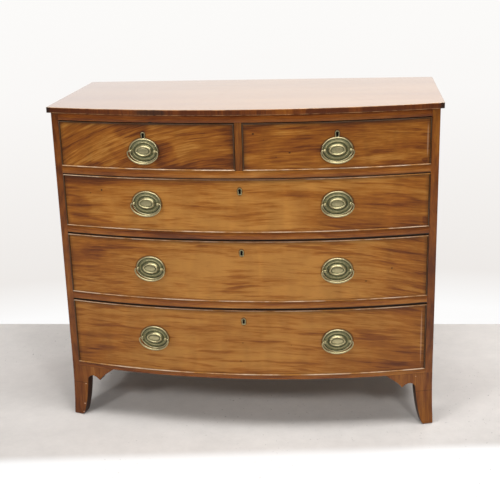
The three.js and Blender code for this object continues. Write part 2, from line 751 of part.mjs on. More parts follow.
// One drawer, with its lower edge at z = 0 of its own group.
function makeDrawer({ name, left, right, row, keyholeX, handles }) {
  const x0 = left + drawerSideGap;
  const x1 = right - drawerSideGap;
  const height = openingHeights[row] - drawerFloorGap - drawerHeadGaps[row];
  const sideTop = height - drawerSideDrop;
  const backTop = height - drawerBackDrop;
  const bottomTop = bottomHeight + bottomThickness;
  const backInner = drawerRear - drawerBackThickness;
  const handleHeight = openingHeights[row] / 2 + handleLifts[row];
  const grooveFrom = bottomHeight - joinGap;
  const grooveTo = bottomTop + joinGap;
  const tailFrom = grooveTo + tailMargin;
  const sides = [
    { label: "left_side", outer: x0, inner: x0 + drawerSideThickness, into: 1 },
    { label: "right_side", outer: x1, inner: x1 - drawerSideThickness, into: -1 },
  ];

  const group = new THREE.Group();
  group.position.z = rows[row].floor + drawerFloorGap;

  // Front: bowed board with its cock beads, then everything that is cut into it.
  const board = joined(
    bowedSlab(x0, x1, 0, frontThickness, 0, height),
    bead(x0, x1, 0),
    bead(x0, x1, height - beadWidth),
    endBead(x0, 1, height),
    endBead(x1, -1, height),
  );
  const sockets = sides.map(({ outer, inner, into }) => {
    const from = Math.min(outer - into * cutOverrun, inner + into * joinGap);
    const to = Math.max(outer - into * cutOverrun, inner + into * joinGap);
    const shoulder = faceY((outer + inner) / 2, frontThickness);
    const behindLap = solidOf(bowedSlab(from, to, frontLap, frontThickness + cutOverrun, 0, height));
    const shapes = tails(
      from, to, shoulder, -1, frontThickness - frontLap, tailFrom, sideTop - tailMargin, tailCounts[row], joinGap,
    );
    return joined(...shapes).intersect(behindLap);
  });
  const holes = handles.flatMap((x) => [-postSpacing / 2, postSpacing / 2].map((offset) => {
    const bore = cylinderAlongY(shankRadius + joinGap, -cutOverrun, frontThickness + cutOverrun, offset, 0);
    return bore.applyMatrix4(fittingFrame(x, handleHeight));
  }));
  const groove = bowedSlab(
    x0 + drawerSideThickness - bottomGrooveDepth, x1 - drawerSideThickness + bottomGrooveDepth,
    frontThickness - bottomGrooveDepth, frontThickness + cutOverrun, grooveFrom, grooveTo,
  );
  const lockSpace = geometryOf(lockBody(joinGap)).applyMatrix4(fittingFrame(keyholeX, height));
  const front = sockets.reduce((rest, socket) => rest.subtract(socket), cut(board, groove, lockSpace, ...holes));
  group.add(piece(name + "_front", front, mahogany));

  // Sides: tails at both ends, and a groove for the bottom.
  for (const { label, outer, inner, into } of sides) {
    const from = Math.min(outer, inner);
    const to = Math.max(outer, inner);
    const past = [from - cutOverrun, to + cutOverrun];
    const shoulder = faceY((from + to) / 2, frontThickness);
    const blank = solidOf(bowedBoard(from, to, frontLap + joinGap, drawerRear, 0, sideTop));
    const frontTails = joined(...tails(
      ...past, shoulder, -1, frontThickness - frontLap, tailFrom, sideTop - tailMargin, tailCounts[row], 0,
    ));
    const rearTails = joined(...tails(
      ...past, backInner, 1, drawerBackThickness, tailFrom, backTop - tailMargin, tailCounts[row], 0,
    ));
    const clear = frontThickness + joinGap + chordSag;
    const pinsInFront = solidOf(bowedSlab(...past, -cutOverrun, clear, -cutOverrun, height))
      .subtract(frontTails);
    const pinsBehind = solidOf(block(
      ...past, backInner - joinGap, drawerRear + cutOverrun, bottomTop, backTop + joinGap,
    )).subtract(rearTails);
    const bottomGroove = block(
      Math.min(inner - into * bottomGrooveDepth, inner + into * cutOverrun),
      Math.max(inner - into * bottomGrooveDepth, inner + into * cutOverrun),
      faceY(inner, 0), drawerRear + cutOverrun, grooveFrom, grooveTo,
    );
    const side = cut(blank.subtract(pinsInFront).subtract(pinsBehind), bottomGroove);
    group.add(piece(name + "_" + label, side, lining));
  }

  // Back: pins between the sides' tails, standing on the bottom.
  const backBoard = joined(block(x0, x1, backInner, drawerRear, bottomTop + joinGap, backTop));
  const rearSockets = sides.flatMap(({ outer, inner, into }) => tails(
    Math.min(outer - into * cutOverrun, inner + into * joinGap),
    Math.max(outer - into * cutOverrun, inner + into * joinGap),
    backInner, 1, drawerBackThickness, tailFrom, backTop - tailMargin, tailCounts[row], joinGap,
  ));
  group.add(piece(name + "_back", cut(backBoard, ...rearSockets), lining));

  // Bottom: slid into the grooves from behind, under the back. A long one has a bar down its middle.
  const tongue = bottomGrooveDepth - joinGap;
  const from = x0 + drawerSideThickness - tongue;
  const to = x1 - drawerSideThickness + tongue;
  const panel = bowedBoard(from, to, frontThickness - tongue, drawerRear, bottomHeight, bottomTop);
  const bar = bowedBoard(
    -muntinWidth / 2, muntinWidth / 2, frontThickness + joinGap + chordSag, drawerRear,
    bottomTop - muntinThickness, bottomTop,
  );
  const bottom = row === 0 ? panel : joined(panel, bar);
  group.add(piece(name + "_bottom", bottom, lining));

  const lock = piece(name + "_lock", lockGeometry, brass);
  lock.applyMatrix4(fittingFrame(keyholeX, height));
  group.add(lock);

  for (const x of handles) {
    const side = handles.length === 1 ? "" : x < 0 ? "_left" : "_right";
    const handle = new THREE.Group();
    handle.applyMatrix4(fittingFrame(x, handleHeight));
    handle.add(piece(name + side + "_handle_plate", plateGeometry, brass));
    handle.add(piece(name + side + "_handle_bail", bailGeometry, brass));
    group.add(handle);
  }
  return group;
}

// A mirror image in the plane x = 0.
function mirrored(name, geometry, material) {
  const mesh = piece(name, geometry, material);
  mesh.scale.x = -1;
  return mesh;
}

const chest = new THREE.Group();
const sideGeometry = geometryOf(makeSide());
const frontFootGeometry = geometryOf(makeFrontFoot());
const backFootGeometry = geometryOf(makeBackFoot());

chest.add(
  piece("top_board", makeTop(), mahogany),
  piece("right_side", sideGeometry, mahogany),
  mirrored("left_side", sideGeometry, mahogany),
  piece("back_boards", makeBack(), lining),
  piece("base_board", makeBase(), darkMahogany),
  piece("top_rail", makeTopRail(), darkMahogany),
  piece("upper_rail_and_dustboard", makeRail(0), darkMahogany),
  piece("middle_rail_and_dustboard", makeRail(1), darkMahogany),
  piece("lower_rail_and_dustboard", makeRail(2), darkMahogany),
  piece("short_drawer_divider", makeDivider(), darkMahogany),
  piece("front_right_foot", frontFootGeometry, darkMahogany),
  mirrored("front_left_foot", frontFootGeometry, darkMahogany),
  piece("back_right_foot", backFootGeometry, darkMahogany),
  mirrored("back_left_foot", backFootGeometry, darkMahogany),
);

chest.add(
  makeDrawer({
    name: "short_left_drawer", left: -innerHalf, right: -dividerThickness / 2, row: 0,
    keyholeX: -handleOffset, handles: [-handleOffset],
  }),
  makeDrawer({
    name: "short_right_drawer", left: dividerThickness / 2, right: innerHalf, row: 0,
    keyholeX: handleOffset, handles: [handleOffset],
  }),
);
["upper_long_drawer", "middle_long_drawer", "lower_long_drawer"].forEach((name, i) => {
  chest.add(makeDrawer({
    name, left: -innerHalf, right: innerHalf, row: i + 1, keyholeX: 0, handles: [-handleOffset, handleOffset],
  }));
});

export default chest;
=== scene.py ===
import json
import math

import bmesh
import bpy
from mathutils import Matrix, Vector

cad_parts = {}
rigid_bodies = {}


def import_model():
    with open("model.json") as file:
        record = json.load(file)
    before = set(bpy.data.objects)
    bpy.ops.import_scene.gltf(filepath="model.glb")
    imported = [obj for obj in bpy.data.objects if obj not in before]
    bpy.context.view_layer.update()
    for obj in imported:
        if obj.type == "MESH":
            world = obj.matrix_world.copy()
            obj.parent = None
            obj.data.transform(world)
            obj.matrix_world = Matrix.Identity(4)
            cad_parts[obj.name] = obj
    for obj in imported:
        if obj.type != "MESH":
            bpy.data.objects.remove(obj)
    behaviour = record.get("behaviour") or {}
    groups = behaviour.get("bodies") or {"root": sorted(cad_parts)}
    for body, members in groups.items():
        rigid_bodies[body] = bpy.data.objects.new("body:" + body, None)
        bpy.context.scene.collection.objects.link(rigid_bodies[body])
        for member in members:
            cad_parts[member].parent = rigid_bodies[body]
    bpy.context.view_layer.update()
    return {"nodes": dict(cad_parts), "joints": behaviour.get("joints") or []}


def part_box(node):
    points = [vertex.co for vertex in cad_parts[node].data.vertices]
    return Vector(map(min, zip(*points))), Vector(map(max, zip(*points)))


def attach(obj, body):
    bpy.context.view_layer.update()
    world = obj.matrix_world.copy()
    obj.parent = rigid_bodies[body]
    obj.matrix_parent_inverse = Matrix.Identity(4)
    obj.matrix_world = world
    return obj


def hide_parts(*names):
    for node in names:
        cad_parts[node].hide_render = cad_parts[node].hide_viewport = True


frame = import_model()
millimetre = 0.001
touching = 0.01 * millimetre  # two places nearer than this are the same one
weld = 0.001 * millimetre  # doubles of a new piece are merged within this
frameWeld = 0.004 * millimetre  # and those of a copied node within this
print("frame loaded:", len(frame["nodes"]), "nodes")


# The bow, read off the top board and the face of the top rail
topPoints = [v.co for v in frame["nodes"]["top_board"].data.vertices]
topLow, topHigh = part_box("top_board")
cornerFront = min(p.y for p in topPoints if p.x > topHigh.x - millimetre)
bowRise = cornerFront - topLow.y
bowRadius = ((topHigh.x - topLow.x) ** 2 / 4 + bowRise ** 2) / (2 * bowRise)
bowCentre = topLow.y + bowRadius
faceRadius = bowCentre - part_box("top_rail")[0].y
bow = {
    "chord": 84 * millimetre,  # the frame's bows are made of chords of this length
    "slice": 9 * millimetre,  # the finished ones of chords of this length
}


def faceY(x, proud=0.0):
    return bowCentre - math.sqrt((faceRadius + proud) ** 2 - x * x)


def chordSag(x, ends):
    # how far the true bow stands in front of a chord of the frame at x
    marks = [ends[0], ends[1]]
    count = int(max(-ends[0], ends[1]) / bow["chord"]) + 1
    for i in range(-count, count + 1):
        mark = i * bow["chord"]
        if ends[0] + bow["chord"] / 10 < mark < ends[1] - bow["chord"] / 10:
            marks.append(mark)
    before = max([m for m in marks if m <= x], default=x)
    after = min([m for m in marks if m >= x], default=x)
    return (x - before) * (after - x) / (2 * faceRadius)


# Node maths. A Shade is one socket of a material, and Python's operators add Math nodes to it.
class Shade:
    def __init__(self, tree, socket=None):
        self.tree = tree
        self.socket = socket

    def node(self, kind, settings=None, inputs=None, output=0):
        made = self.tree.nodes.new("ShaderNode" + kind)
        settings = dict(settings or {})
        stops = settings.pop("stops", None)
        for key, value in settings.items():
            setattr(made, key, value)
        if stops:
            ramp = made.color_ramp
            while len(ramp.elements) < len(stops):
                ramp.elements.new(1.0)
            for element, (place, colour) in zip(ramp.elements, stops):
                element.position = place
                element.color = (*colour, 1.0)
        for key, value in (inputs or {}).items():
            if isinstance(value, Shade):
                self.tree.links.new(value.socket, made.inputs[key])
            else:
                made.inputs[key].default_value = value
        return Shade(self.tree, made.outputs[output])

    def math(self, operation, a, b=0.0):
        return self.node("Math", {"operation": operation}, {0: a, 1: b})

    def __add__(self, other):
        return self.math("ADD", self, other)

    def __radd__(self, other):
        return self.math("ADD", other, self)

    def __sub__(self, other):
        return self.math("SUBTRACT", self, other)

    def __rsub__(self, other):
        return self.math("SUBTRACT", other, self)

    def __mul__(self, other):
        return self.math("MULTIPLY", self, other)

    def __rmul__(self, other):
        return self.math("MULTIPLY", other, self)

    def __truediv__(self, other):
        return self.math("DIVIDE", self, other)

    def size(self):
        return self.math("ABSOLUTE", self)

    def least(self, other):
        return self.math("MINIMUM", self, other)

    def most(self, other):
        return self.math("MAXIMUM", self, other)

    def clamped(self):
        return self.node("Clamp", None, {"Value": self})

    def rise(self, low, high):
        # 0 below low, 1 above high, eased in between
        ease = {"interpolation_type": "SMOOTHSTEP"}
        return self.node("MapRange", ease, {"Value": self, "From Min": low, "From Max": high})

    def split(self):
        return [self.node("SeparateXYZ", None, {0: self}, i) for i in range(3)]

    def join(self, x, y, z):
        return self.node("CombineXYZ", None, {0: x, 1: y, 2: z})

    def noise(self, place, scale, detail=2.0, roughness=0.5, distortion=0.0):
        values = {
            "Vector": place, "Scale": scale, "Detail": detail, "Roughness": roughness,
            "Distortion": distortion,
        }
        return self.node("TexNoise", None, values)

    def mixed(self, amount, first, second, blend="MIX"):
        settings = {"data_type": "RGBA", "blend_type": blend}
        return self.node("Mix", settings, {0: amount, 6: first, 7: second}, 2)


def newMaterial(name):
    material = bpy.data.materials.new(name)
    material.use_nodes = True
    tree = material.node_tree
    principled = tree.nodes["Principled BSDF"]
    return material, Shade(tree), principled


def dress(shade, principled, colour, roughness, bump=None, strength=0.2, distance=0.2 * millimetre):
    links = shade.tree.links
    links.new(colour.socket, principled.inputs["Base Color"])
    links.new(roughness.socket, principled.inputs["Roughness"])
    if bump:
        values = {"Height": bump, "Strength": strength, "Distance": distance}
        links.new(shade.node("Bump", None, values).socket, principled.inputs["Normal"])


def tinted(colour):
    return (*colour, 1.0)


# Mahogany. Every board has its own figure: u runs along the grain and v across it.
mahoganyColours = {
    "dark": (0.105, 0.026, 0.004),
    "red": (0.20, 0.056, 0.006),
    "brown": (0.29, 0.098, 0.010),
    "honey": (0.42, 0.182, 0.034),
    "grimeAndShade": (0.014, 0.007, 0.003),
    "worn": (0.56, 0.36, 0.22),
}


def behindBow(shade, x, y, proud=0.0):
    # how far a point lies behind the drawers' bowed face, or one that stands proud of it
    return y - bowCentre + shade.math("SQRT", (faceRadius + proud) ** 2 - x * x)


def spot(x, z, place):
    # 1 in the middle of an oval on a front, 0 outside it; the place is in millimetres
    middleX, middleZ, halfWidth, halfHeight = (value * millimetre for value in place)
    across, up = (x - middleX) / halfWidth, (z - middleZ) / halfHeight
    return 1.0 - (across * across + up * up).rise(0.3, 1.0)


def grainSpace(shade, look):
    x, y, z = shade.node("TexCoord", None, None, 3).split()
    named = {"x": x, "y": y, "z": z}
    u, v, w = (named[axis] for axis in look.get("axes", "xzy"))
    v = v - u * look.get("slope", 0.0) - u * u * look.get("bend", 0.0)
    if "drop" in look:  # grain that falls away towards the right end
        late = u.most(0.0)
        v = v + late * late * look["drop"]
    u = u + look.get("seed", 0.0)
    wander = shade.noise(shade.join(u * 3.0, v * 9.0, w * 0.6), 1.0, 2.0) - 0.5
    return u, v + wander * look.get("wander", 0.03), w * look.get("depthShare", 0.12), (x, y, z)


# dark lines along the inner edges of the beads: dirt and wax, with painted shade
waxAndShadeLines = {
    # in from a front's edge: where it starts to fade, where it is gone, and how dark it is
    "sides": (3.4 * millimetre, 4.8 * millimetre, 0.65),
    "bottom": (3.3 * millimetre, 4.2 * millimetre, 0.3),
    "top": (3.4 * millimetre, 5.2 * millimetre, 0.8),
    "haze": (4 * millimetre, 15 * millimetre, 0.34),
    "ragged": 9 * millimetre,
    "topReach": 1 * millimetre,
    "bottomShare": 1.6,
}


def frameDirtAndShade(low, high, x, z, ragged):
    # wax and dirt along the beads, and painted shade where the beads stand over the face, thickest under the
    # top one and at the sides
    def gathered(apart, part):
        start, end, depth = waxAndShadeLines[part]
        return (1.0 - apart.rise(start, end)) * depth

    aside, below, above = (x - low.x).least(high.x - x), z - low.z, high.z - z
    line = gathered(aside, "sides").most(gathered(below, "bottom")).most(gathered(above, "top"))
    inside = aside.least(above + waxAndShadeLines["topReach"]).least(below * waxAndShadeLines["bottomShare"])
    return line.most(gathered(inside + ragged * waxAndShadeLines["ragged"], "haze"))


def mahogany(name, look):
    material, shade, principled = newMaterial(name)
    u, v, w, (x, y, z) = grainSpace(shade, look)

    def streaks(along, across, detail, roughness=0.55):
        return shade.noise(shade.join(u * along, v * across, w * across), 1.0, detail, roughness)

    broad = streaks(1.4, 9.0, 2.0)
    ribbon = streaks(4.2, 42.0, 4.0, 0.62)
    flame = streaks(8.0, 90.0, 2.0, 0.5).rise(0.53, 0.68)
    fine = streaks(16.0, 270.0, 3.0, 0.7)
    pores = streaks(60.0, 1500.0, 1.0).rise(0.60, 0.74)
    mottle = shade.noise(shade.join(u * 26.0, v * 9.0, w * 4.0), 1.0, 1.0, 0.4, 0.6)
    tone = look.get("tone", 0.5) + (broad - 0.5) * look.get("broad", 1.3) - flame * look.get("flame", 0.12)
    tone = tone + (ribbon - 0.5) * look.get("ribbon", 1.0) + (fine - 0.5) * look.get("fine", 0.8)
    if "endRedAndSheen" in look:  # redder and darker towards the ends of a front, which leaves the middle lighter as a painted sheen
        tone = tone - (x - look.get("middle", 0.0)).size().rise(*look["endSpan"]) * look["endRedAndSheen"]
    for *place, depth in look.get("clouds", []):
        tone = tone - spot(x + (broad - 0.5) * 0.1, z + (ribbon - 0.5) * 0.06, place) * depth
    if "blocks" in look:  # crossbanding laid in short pieces of differing wood
        piece = shade.math("FLOOR", x * look["blocks"] + (broad - 0.5) * 1.5)
        chance = shade.node("TexWhiteNoise", {"noise_dimensions": "1D"}, {"W": piece})
        tone = tone + (chance - 0.5) * look["blockStep"]
    kinds = mahoganyColours
    stops = [(0.10, kinds["dark"]), (0.34, kinds["red"]), (0.56, kinds["brown"]), (0.86, kinds["honey"])]
    wood = shade.node("ValToRGB", {"stops": stops}, {0: tone.clamped()})
    light = look.get("light", 1.0) * (1.0 + (mottle - 0.5) * look.get("mottle", 0.35)) * (1.0 - pores * 0.25)
    wood = shade.mixed(1.0, wood, shade.join(light, light, light), "MULTIPLY")
    if "tint" in look:
        wood = shade.mixed(1.0, wood, tinted(look["tint"]), "MULTIPLY")
    # dirt and marks, together with painted shade from the bead lines, the rails' lower edges and round the
    # brass
    dirtAndShade = shade.math("ADD", 0.0, 0.0)  # none to start with
    if "frameOf" in look:
        dirtAndShade = frameDirtAndShade(*look["frameOf"], x, z, ribbon - 0.5)
    for *place, depth in look.get("marks", []):
        dirtAndShade = dirtAndShade.most(spot(x, z, place) * depth)
    if "dirtAndShade" in look:
        dirtAndShade = dirtAndShade.most(look["dirtAndShade"](shade, x, y, z, ribbon))
    wood = shade.mixed(dirtAndShade, wood, tinted(kinds["grimeAndShade"]))
    for *place, depth in look.get("scratches", []):
        wood = shade.mixed(spot(x, z, place) * depth, wood, tinted(kinds["worn"]))
    if "paleEdge" in look:  # paler wood along an arris: wear, and a painted highlight
        wood = shade.mixed(look["paleEdge"](shade, x, y, z, ribbon), wood, tinted(look["paleEdgeColour"]))
    shine = look.get("roughness", 0.36) + (fine - 0.5) * 0.12 + dirtAndShade * 0.25 + pores * 0.1
    dress(shade, principled, wood, shine, fine * 0.4 - pores, look.get("bump", 0.18), 0.12 * millimetre)
    principled.inputs["Specular IOR Level"].default_value = look.get("specular", 0.2)
    principled.inputs["Coat Weight"].default_value = look.get("coat", 0.06)
    principled.inputs["Coat Roughness"].default_value = look.get("coatRoughness", 0.16)
    return material


def bareWood(name, look):
    material, shade, principled = newMaterial(name)
    u, v, w, (x, y, z) = grainSpace(shade, look)
    broad = shade.noise(shade.join(u * 1.2, v * 14.0, w * 14.0), 1.0, 2.0)
    lines = shade.noise(shade.join(u * 2.2, v * 160.0, w * 160.0), 1.0, 3.0, 0.6)
    flecks = shade.noise(shade.join(u * 60.0, v * 420.0, w * 90.0), 1.0, 1.0).rise(0.58, 0.70)
    stains = shade.noise(shade.join(x, y, z), 7.0, 4.0, 0.6)
    tone = 0.5 + (broad - 0.5) * 0.9 + (lines - 0.5) * look["lines"]
    wood = shade.node("ValToRGB", {"stops": look["stops"]}, {0: tone.clamped()})
    wood = shade.mixed(flecks * look["flecks"], wood, tinted(look["fleckColour"]))
    wood = shade.mixed(stains.rise(0.48, 0.75) * look["stain"], wood, tinted(look["stainColour"]))
    if "grimeAndShadeDepth" in look:  # near-black behind the bowed face: grime from hands and polish, and painted shade that makes the gaps round the drawers read dark
        behind = behindBow(shade, x, y) + (lines - 0.5) * look["grimeAndShadeWander"]
        grimeAndShade = 1.0 - behind.rise(look["grimeAndShadeDepth"], look["grimeAndShadeDepth"] + look["grimeAndShadeFade"])
        wood = shade.mixed(grimeAndShade * 0.93, wood, tinted(mahoganyColours["grimeAndShade"]))
    dress(shade, principled, wood, 0.62 + (lines - 0.5) * 0.2, lines, 0.25, 0.3 * millimetre)
    return material


oakLook = {
    "axes": "yzx", "lines": 1.0, "flecks": 0.35, "stain": 0.45,
    "stops": [(0.2, (0.23, 0.13, 0.062)), (0.5, (0.37, 0.235, 0.12)), (0.85, (0.49, 0.335, 0.19))],
    "fleckColour": (0.55, 0.41, 0.26), "stainColour": (0.16, 0.095, 0.05),
}
pineLook = {
    "axes": "xzy", "lines": 0.7, "flecks": 0.12, "stain": 0.6,
    "stops": [(0.2, (0.33, 0.17, 0.07)), (0.5, (0.47, 0.27, 0.12)), (0.85, (0.58, 0.37, 0.185))],
    "fleckColour": (0.20, 0.11, 0.05), "stainColour": (0.12, 0.075, 0.045),
}


def agedBrass(name, look):
    # "patina" is painted on the mesh: 1 in the grooves and 0 on the rubbed crests
    material, shade, principled = newMaterial(name)
    patina = shade.node("Attribute", {"attribute_name": "patina"}, None, 2)
    place = shade.node("TexCoord", None, None, 3)
    cloud = shade.noise(place, 210.0, 3.0, 0.6)
    grit = shade.noise(place, 1500.0, 2.0, 0.6)
    wear = (patina + (cloud - 0.5) * 0.7 + (grit - 0.5) * 0.25).clamped()
    stops = [(0.0, look["rubbed"]), (0.45, look["dull"]), (0.8, look["green"]), (1.0, look["black"])]
    colour = shade.node("ValToRGB", {"stops": stops}, {0: wear})
    shine = look["roughness"] + wear * 0.3 + (grit - 0.5) * 0.1
    dress(shade, principled, colour, shine, grit * (0.3 + patina), 0.35, 0.15 * millimetre)
    metal = 1.0 - wear.rise(0.75, 1.0) * 0.6
    shade.tree.links.new(metal.socket, principled.inputs["Metallic"])
    return material


brass = agedBrass("aged_brass", {
    "rubbed": (0.47, 0.405, 0.225), "dull": (0.27, 0.24, 0.125), "green": (0.13, 0.135, 0.065),
    "black": (0.032, 0.029, 0.016), "roughness": 0.33,
})
oak = bareWood("oak_lining", oakLook)
pine = bareWood("pine_back", pineLook)
# painted shade: just behind the bowed face this wood is near-black, so the gaps round the drawers read dark
carcase = bareWood("carcase_wood", {
    **pineLook, "axes": "xyz",
    "grimeAndShadeDepth": 16 * millimetre, "grimeAndShadeFade": 7 * millimetre, "grimeAndShadeWander": 6 * millimetre,
    "stops": [(0.2, (0.14, 0.085, 0.05)), (0.5, (0.20, 0.135, 0.085)), (0.85, (0.27, 0.195, 0.13))],
})
print("shared materials made")


# Mesh helpers
def addPiece(name, bm, materials, body, replaces=()):
    mesh = bpy.data.meshes.new(name)
    bm.to_mesh(mesh)
    bm.free()
    for material in materials:
        mesh.materials.append(material)
    piece = bpy.data.objects.new(name, mesh)
    bpy.context.scene.collection.objects.link(piece)
    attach(piece, body)
    if replaces:
        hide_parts(*replaces)
    return piece


def shadeByAngle(bm, sharpest=28):
    # large flat faces keep their own normal, so that the narrow bevels beside them don't bend it
    bm.normal_update()
    for face in bm.faces:
        face.smooth = max(abs(part) for part in face.normal) < 0.99999 or face.calc_area() < 0.002
    for edge in bm.edges:
        edge.smooth = edge.is_manifold and edge.calc_face_angle(0.0) < math.radians(sharpest)


def bevelEdges(bm, edges, width, segments=3):
    bmesh.ops.bevel(
        bm, geom=edges, offset=width, offset_type="OFFSET", segments=segments, profile=0.5, affect="EDGES",
        clamp_overlap=True, material=-1,
    )


def copyOf(node):
    # a node's mesh with its loose triangles merged back into whole faces
    bm = bmesh.new()
    bm.from_mesh(frame["nodes"][node].data)
    bmesh.ops.remove_doubles(bm, verts=bm.verts, dist=frameWeld)
    bmesh.ops.dissolve_limit(bm, angle_limit=math.radians(0.3), verts=bm.verts, edges=bm.edges)
    return bm


def sliceAcross(bm, places, normal=(1, 0, 0)):
    direction = Vector(normal)
    for place in places:
        everything = bm.verts[:] + bm.edges[:] + bm.faces[:]
        bmesh.ops.bisect_plane(bm, geom=everything, plane_co=direction * place, plane_no=normal, dist=weld)


def slicesBetween(low, high, step):
    count = max(1, round((high - low) / step))
    return [low + (high - low) * i / count for i in range(1, count)]


def roundTheBow(bm, ends, depth):
    # turns the frame's chords into a true bow, down to depth behind the face
    sliceAcross(bm, slicesBetween(ends[0], ends[1], bow["slice"]))
    for vert in bm.verts:
        if vert.co.y < faceY(vert.co.x) + depth:
            vert.co.y -= chordSag(vert.co.x, ends)


def frontEdges(bm, proud=0.0, tolerance=0.6 * millimetre):
    # edges that lie on the bowed face, at an angle to the next face
    def onFace(vert):
        return abs(vert.co.y - faceY(vert.co.x, proud)) < tolerance
    return [
        e for e in bm.edges
        if all(onFace(v) for v in e.verts) and e.is_manifold and e.calc_face_angle(0.0) > math.radians(40)
    ]


def isLevel(edge):
    return abs(edge.verts[0].co.z - edge.verts[1].co.z) < touching


def edgesOf(verts):
    return list({e for v in verts for e in v.link_edges})


def meanOf(values):
    return sum(values) / len(values)


# Camera, light and floor
camera = {
    "place": (0.3141, -2.7533, 1.3324),
    "turn": (72.38439, 1.85150, 7.17394),  # degrees
    "lens": 70.266,
    "shift": (0.03494, 0.00084),
}
lamps = [
    # name, place, aimed at, width, height, watts
    ("left_lamp", (-1.75, -2.75, 2.0), (0.0, -0.2, 0.4), 0.45, 0.45, 28.0),
    ("right_lamp", (1.30, -2.95, 2.15), (0.0, -0.2, 0.4), 0.45, 0.45, 26.0),
    ("overhead_softbox", (0.2, -0.8, 3.0), (0.1, -0.4, 0.0), 3.2, 1.1, 92.0),
    ("rear_fill", (1.3, 1.3, 2.4), (0.6, 0.3, 0.0), 1.2, 0.8, 15.0),
]
room = {
    "dome": 0.16,
    "backdrop": [(0.0, (0.99, 0.985, 0.98)), (0.16, (0.98, 0.975, 0.97)), (0.26, (0.855, 0.825, 0.80)),
                 (0.75, (0.955, 0.94, 0.925)), (1.0, (0.97, 0.96, 0.945))],
    "backdropSpan": (-0.41, -0.06),  # heights of view between which the backdrop changes
    "frontRoom": 0.14,  # how bright the room in front of the chest looks in reflections
    "floorLine": ((-0.99, 0.489), (0.80, 0.569)),  # where the floor ends behind the chest
    "floorFront": -3.6,
    "floorHalfWidth": 4.0,
    "rowDirection": (-0.125, 0.992),  # away from the camera, square to the rows of the picture
    "rowSpans": {"behind": (-0.05, 0.2), "near": (-0.26, -0.16), "foreground": (-0.43, -0.375)},
    "floorColour": (0.74, 0.70, 0.665),
    "foregroundColour": (0.84, 0.84, 0.84),
    "speckColour": (0.12, 0.10, 0.09),
}


def makeCamera():
    data = bpy.data.cameras.new("camera")
    data.lens = camera["lens"]
    data.shift_x, data.shift_y = camera["shift"]
    made = bpy.data.objects.new("camera", data)
    made.location = camera["place"]
    made.rotation_euler = [math.radians(a) for a in camera["turn"]]
    bpy.context.scene.collection.objects.link(made)
    bpy.context.scene.camera = made


def makeLamps():
    for name, place, target, width, height, watts in lamps:
        data = bpy.data.lights.new(name, "AREA")
        data.shape = "RECTANGLE"
        data.size, data.size_y, data.energy = width, height, watts
        lamp = bpy.data.objects.new(name, data)
        lamp.location = place
        lamp.rotation_euler = (Vector(target) - Vector(place)).to_track_quat("-Z", "Y").to_euler()
        lamp.visible_camera = False
        bpy.context.scene.collection.objects.link(lamp)


def makeWorld():
    world = bpy.data.worlds.new("studio")
    world.use_nodes = True
    bpy.context.scene.world = world
    tree = world.node_tree
    tree.nodes.clear()
    shade = Shade(tree)
    span = room["backdropSpan"]
    lookX, lookY, lookZ = shade.node("TexCoord", None, None, 3).split()
    spread = shade.node("MapRange", None, {"Value": lookZ, "From Min": span[0], "From Max": span[1]})
    colour = shade.node("ValToRGB", {"stops": room["backdrop"]}, {0: spread})
    seen, glossy, transmitted = (shade.node("LightPath", None, None, i) for i in (0, 3, 6))
    dim = 1.0 - glossy * (1.0 - lookY.rise(-0.3, 0.5)) * (1.0 - room["frontRoom"])
    cool = glossy * (1.0 - lookX.rise(-0.34, -0.1))  # the room to the left is a little greyer
    colour = shade.mixed(1.0, colour, shade.join(dim - cool * 0.07, dim - cool * 0.04, dim), "MULTIPLY")
    dome = shade.node("Background", None, {"Color": (1, 1, 1, 1), "Strength": room["dome"]})
    pale = shade.node("Background", None, {"Color": colour, "Strength": 1.0})
    both = shade.node("MixShader", None, {0: seen.most(glossy).most(transmitted), 1: dome, 2: pale})
    output = tree.nodes.new("ShaderNodeOutputWorld")
    tree.links.new(both.socket, output.inputs["Surface"])


def makeFloor():
    material, shade, principled = newMaterial("paper_floor")
    place = shade.node("TexCoord", None, None, 3)
    cloud = shade.noise(place, 3.2, 4.0, 0.55)
    scuffs = shade.noise(place, 22.0, 5.0, 0.75)
    grit = shade.noise(place, 75.0, 2.0, 0.6).rise(0.66, 0.72)
    patches = shade.noise(place, 2.1, 2.0).rise(0.46, 0.62)
    x, y, z = place.split()
    deep = y.rise(-0.8, 0.3)
    away = x * room["rowDirection"][0] + y * room["rowDirection"][1]
    behind, near, foreground = (away.rise(*span) for span in room["rowSpans"].values())
    # painted light and shade, on top of the mottle: paler towards the back and to the right, lighter under
    # and behind the case, darker in front and most of all in front on the right
    light = 0.82 + (cloud - 0.5) * 0.2 + (scuffs - 0.5) * 0.22 + x.rise(-1.2, 1.2) * 0.1 + deep * 0.18
    light = light - x.rise(0.0, 0.9) * (1.0 - deep) * 0.3
    light = light + behind * 0.09 - (1.0 - near) * 0.07
    colour = shade.mixed(1.0, tinted(room["floorColour"]), shade.join(light, light, light), "MULTIPLY")
    colour = shade.mixed(1.0 - foreground, colour, tinted(room["foregroundColour"]))
    colour = shade.mixed(grit * patches * 0.45, colour, tinted(room["speckColour"]))
    dress(shade, principled, colour, 0.75 + (scuffs - 0.5) * 0.2, scuffs, 0.15, 0.5 * millimetre)
    (x0, y0), (x1, y1) = room["floorLine"]
    slope = (y1 - y0) / (x1 - x0)
    bm = bmesh.new()
    bmesh.ops.create_grid(bm, x_segments=1, y_segments=1, size=1.0)
    for vert in bm.verts:
        across = vert.co.x * room["floorHalfWidth"]
        rear = y0 + slope * (across - x0)
        vert.co = Vector((across, rear if vert.co.y > 0 else room["floorFront"], 0.0))
    mesh = bpy.data.meshes.new("floor")
    bm.to_mesh(mesh)
    bm.free()
    mesh.materials.append(material)
    floor = bpy.data.objects.new("floor", mesh)
    bpy.context.scene.collection.objects.link(floor)


makeCamera()
makeLamps()
makeWorld()
makeFloor()
bpy.context.scene.view_settings.view_transform = "Standard"
print("camera, lamps and floor made")
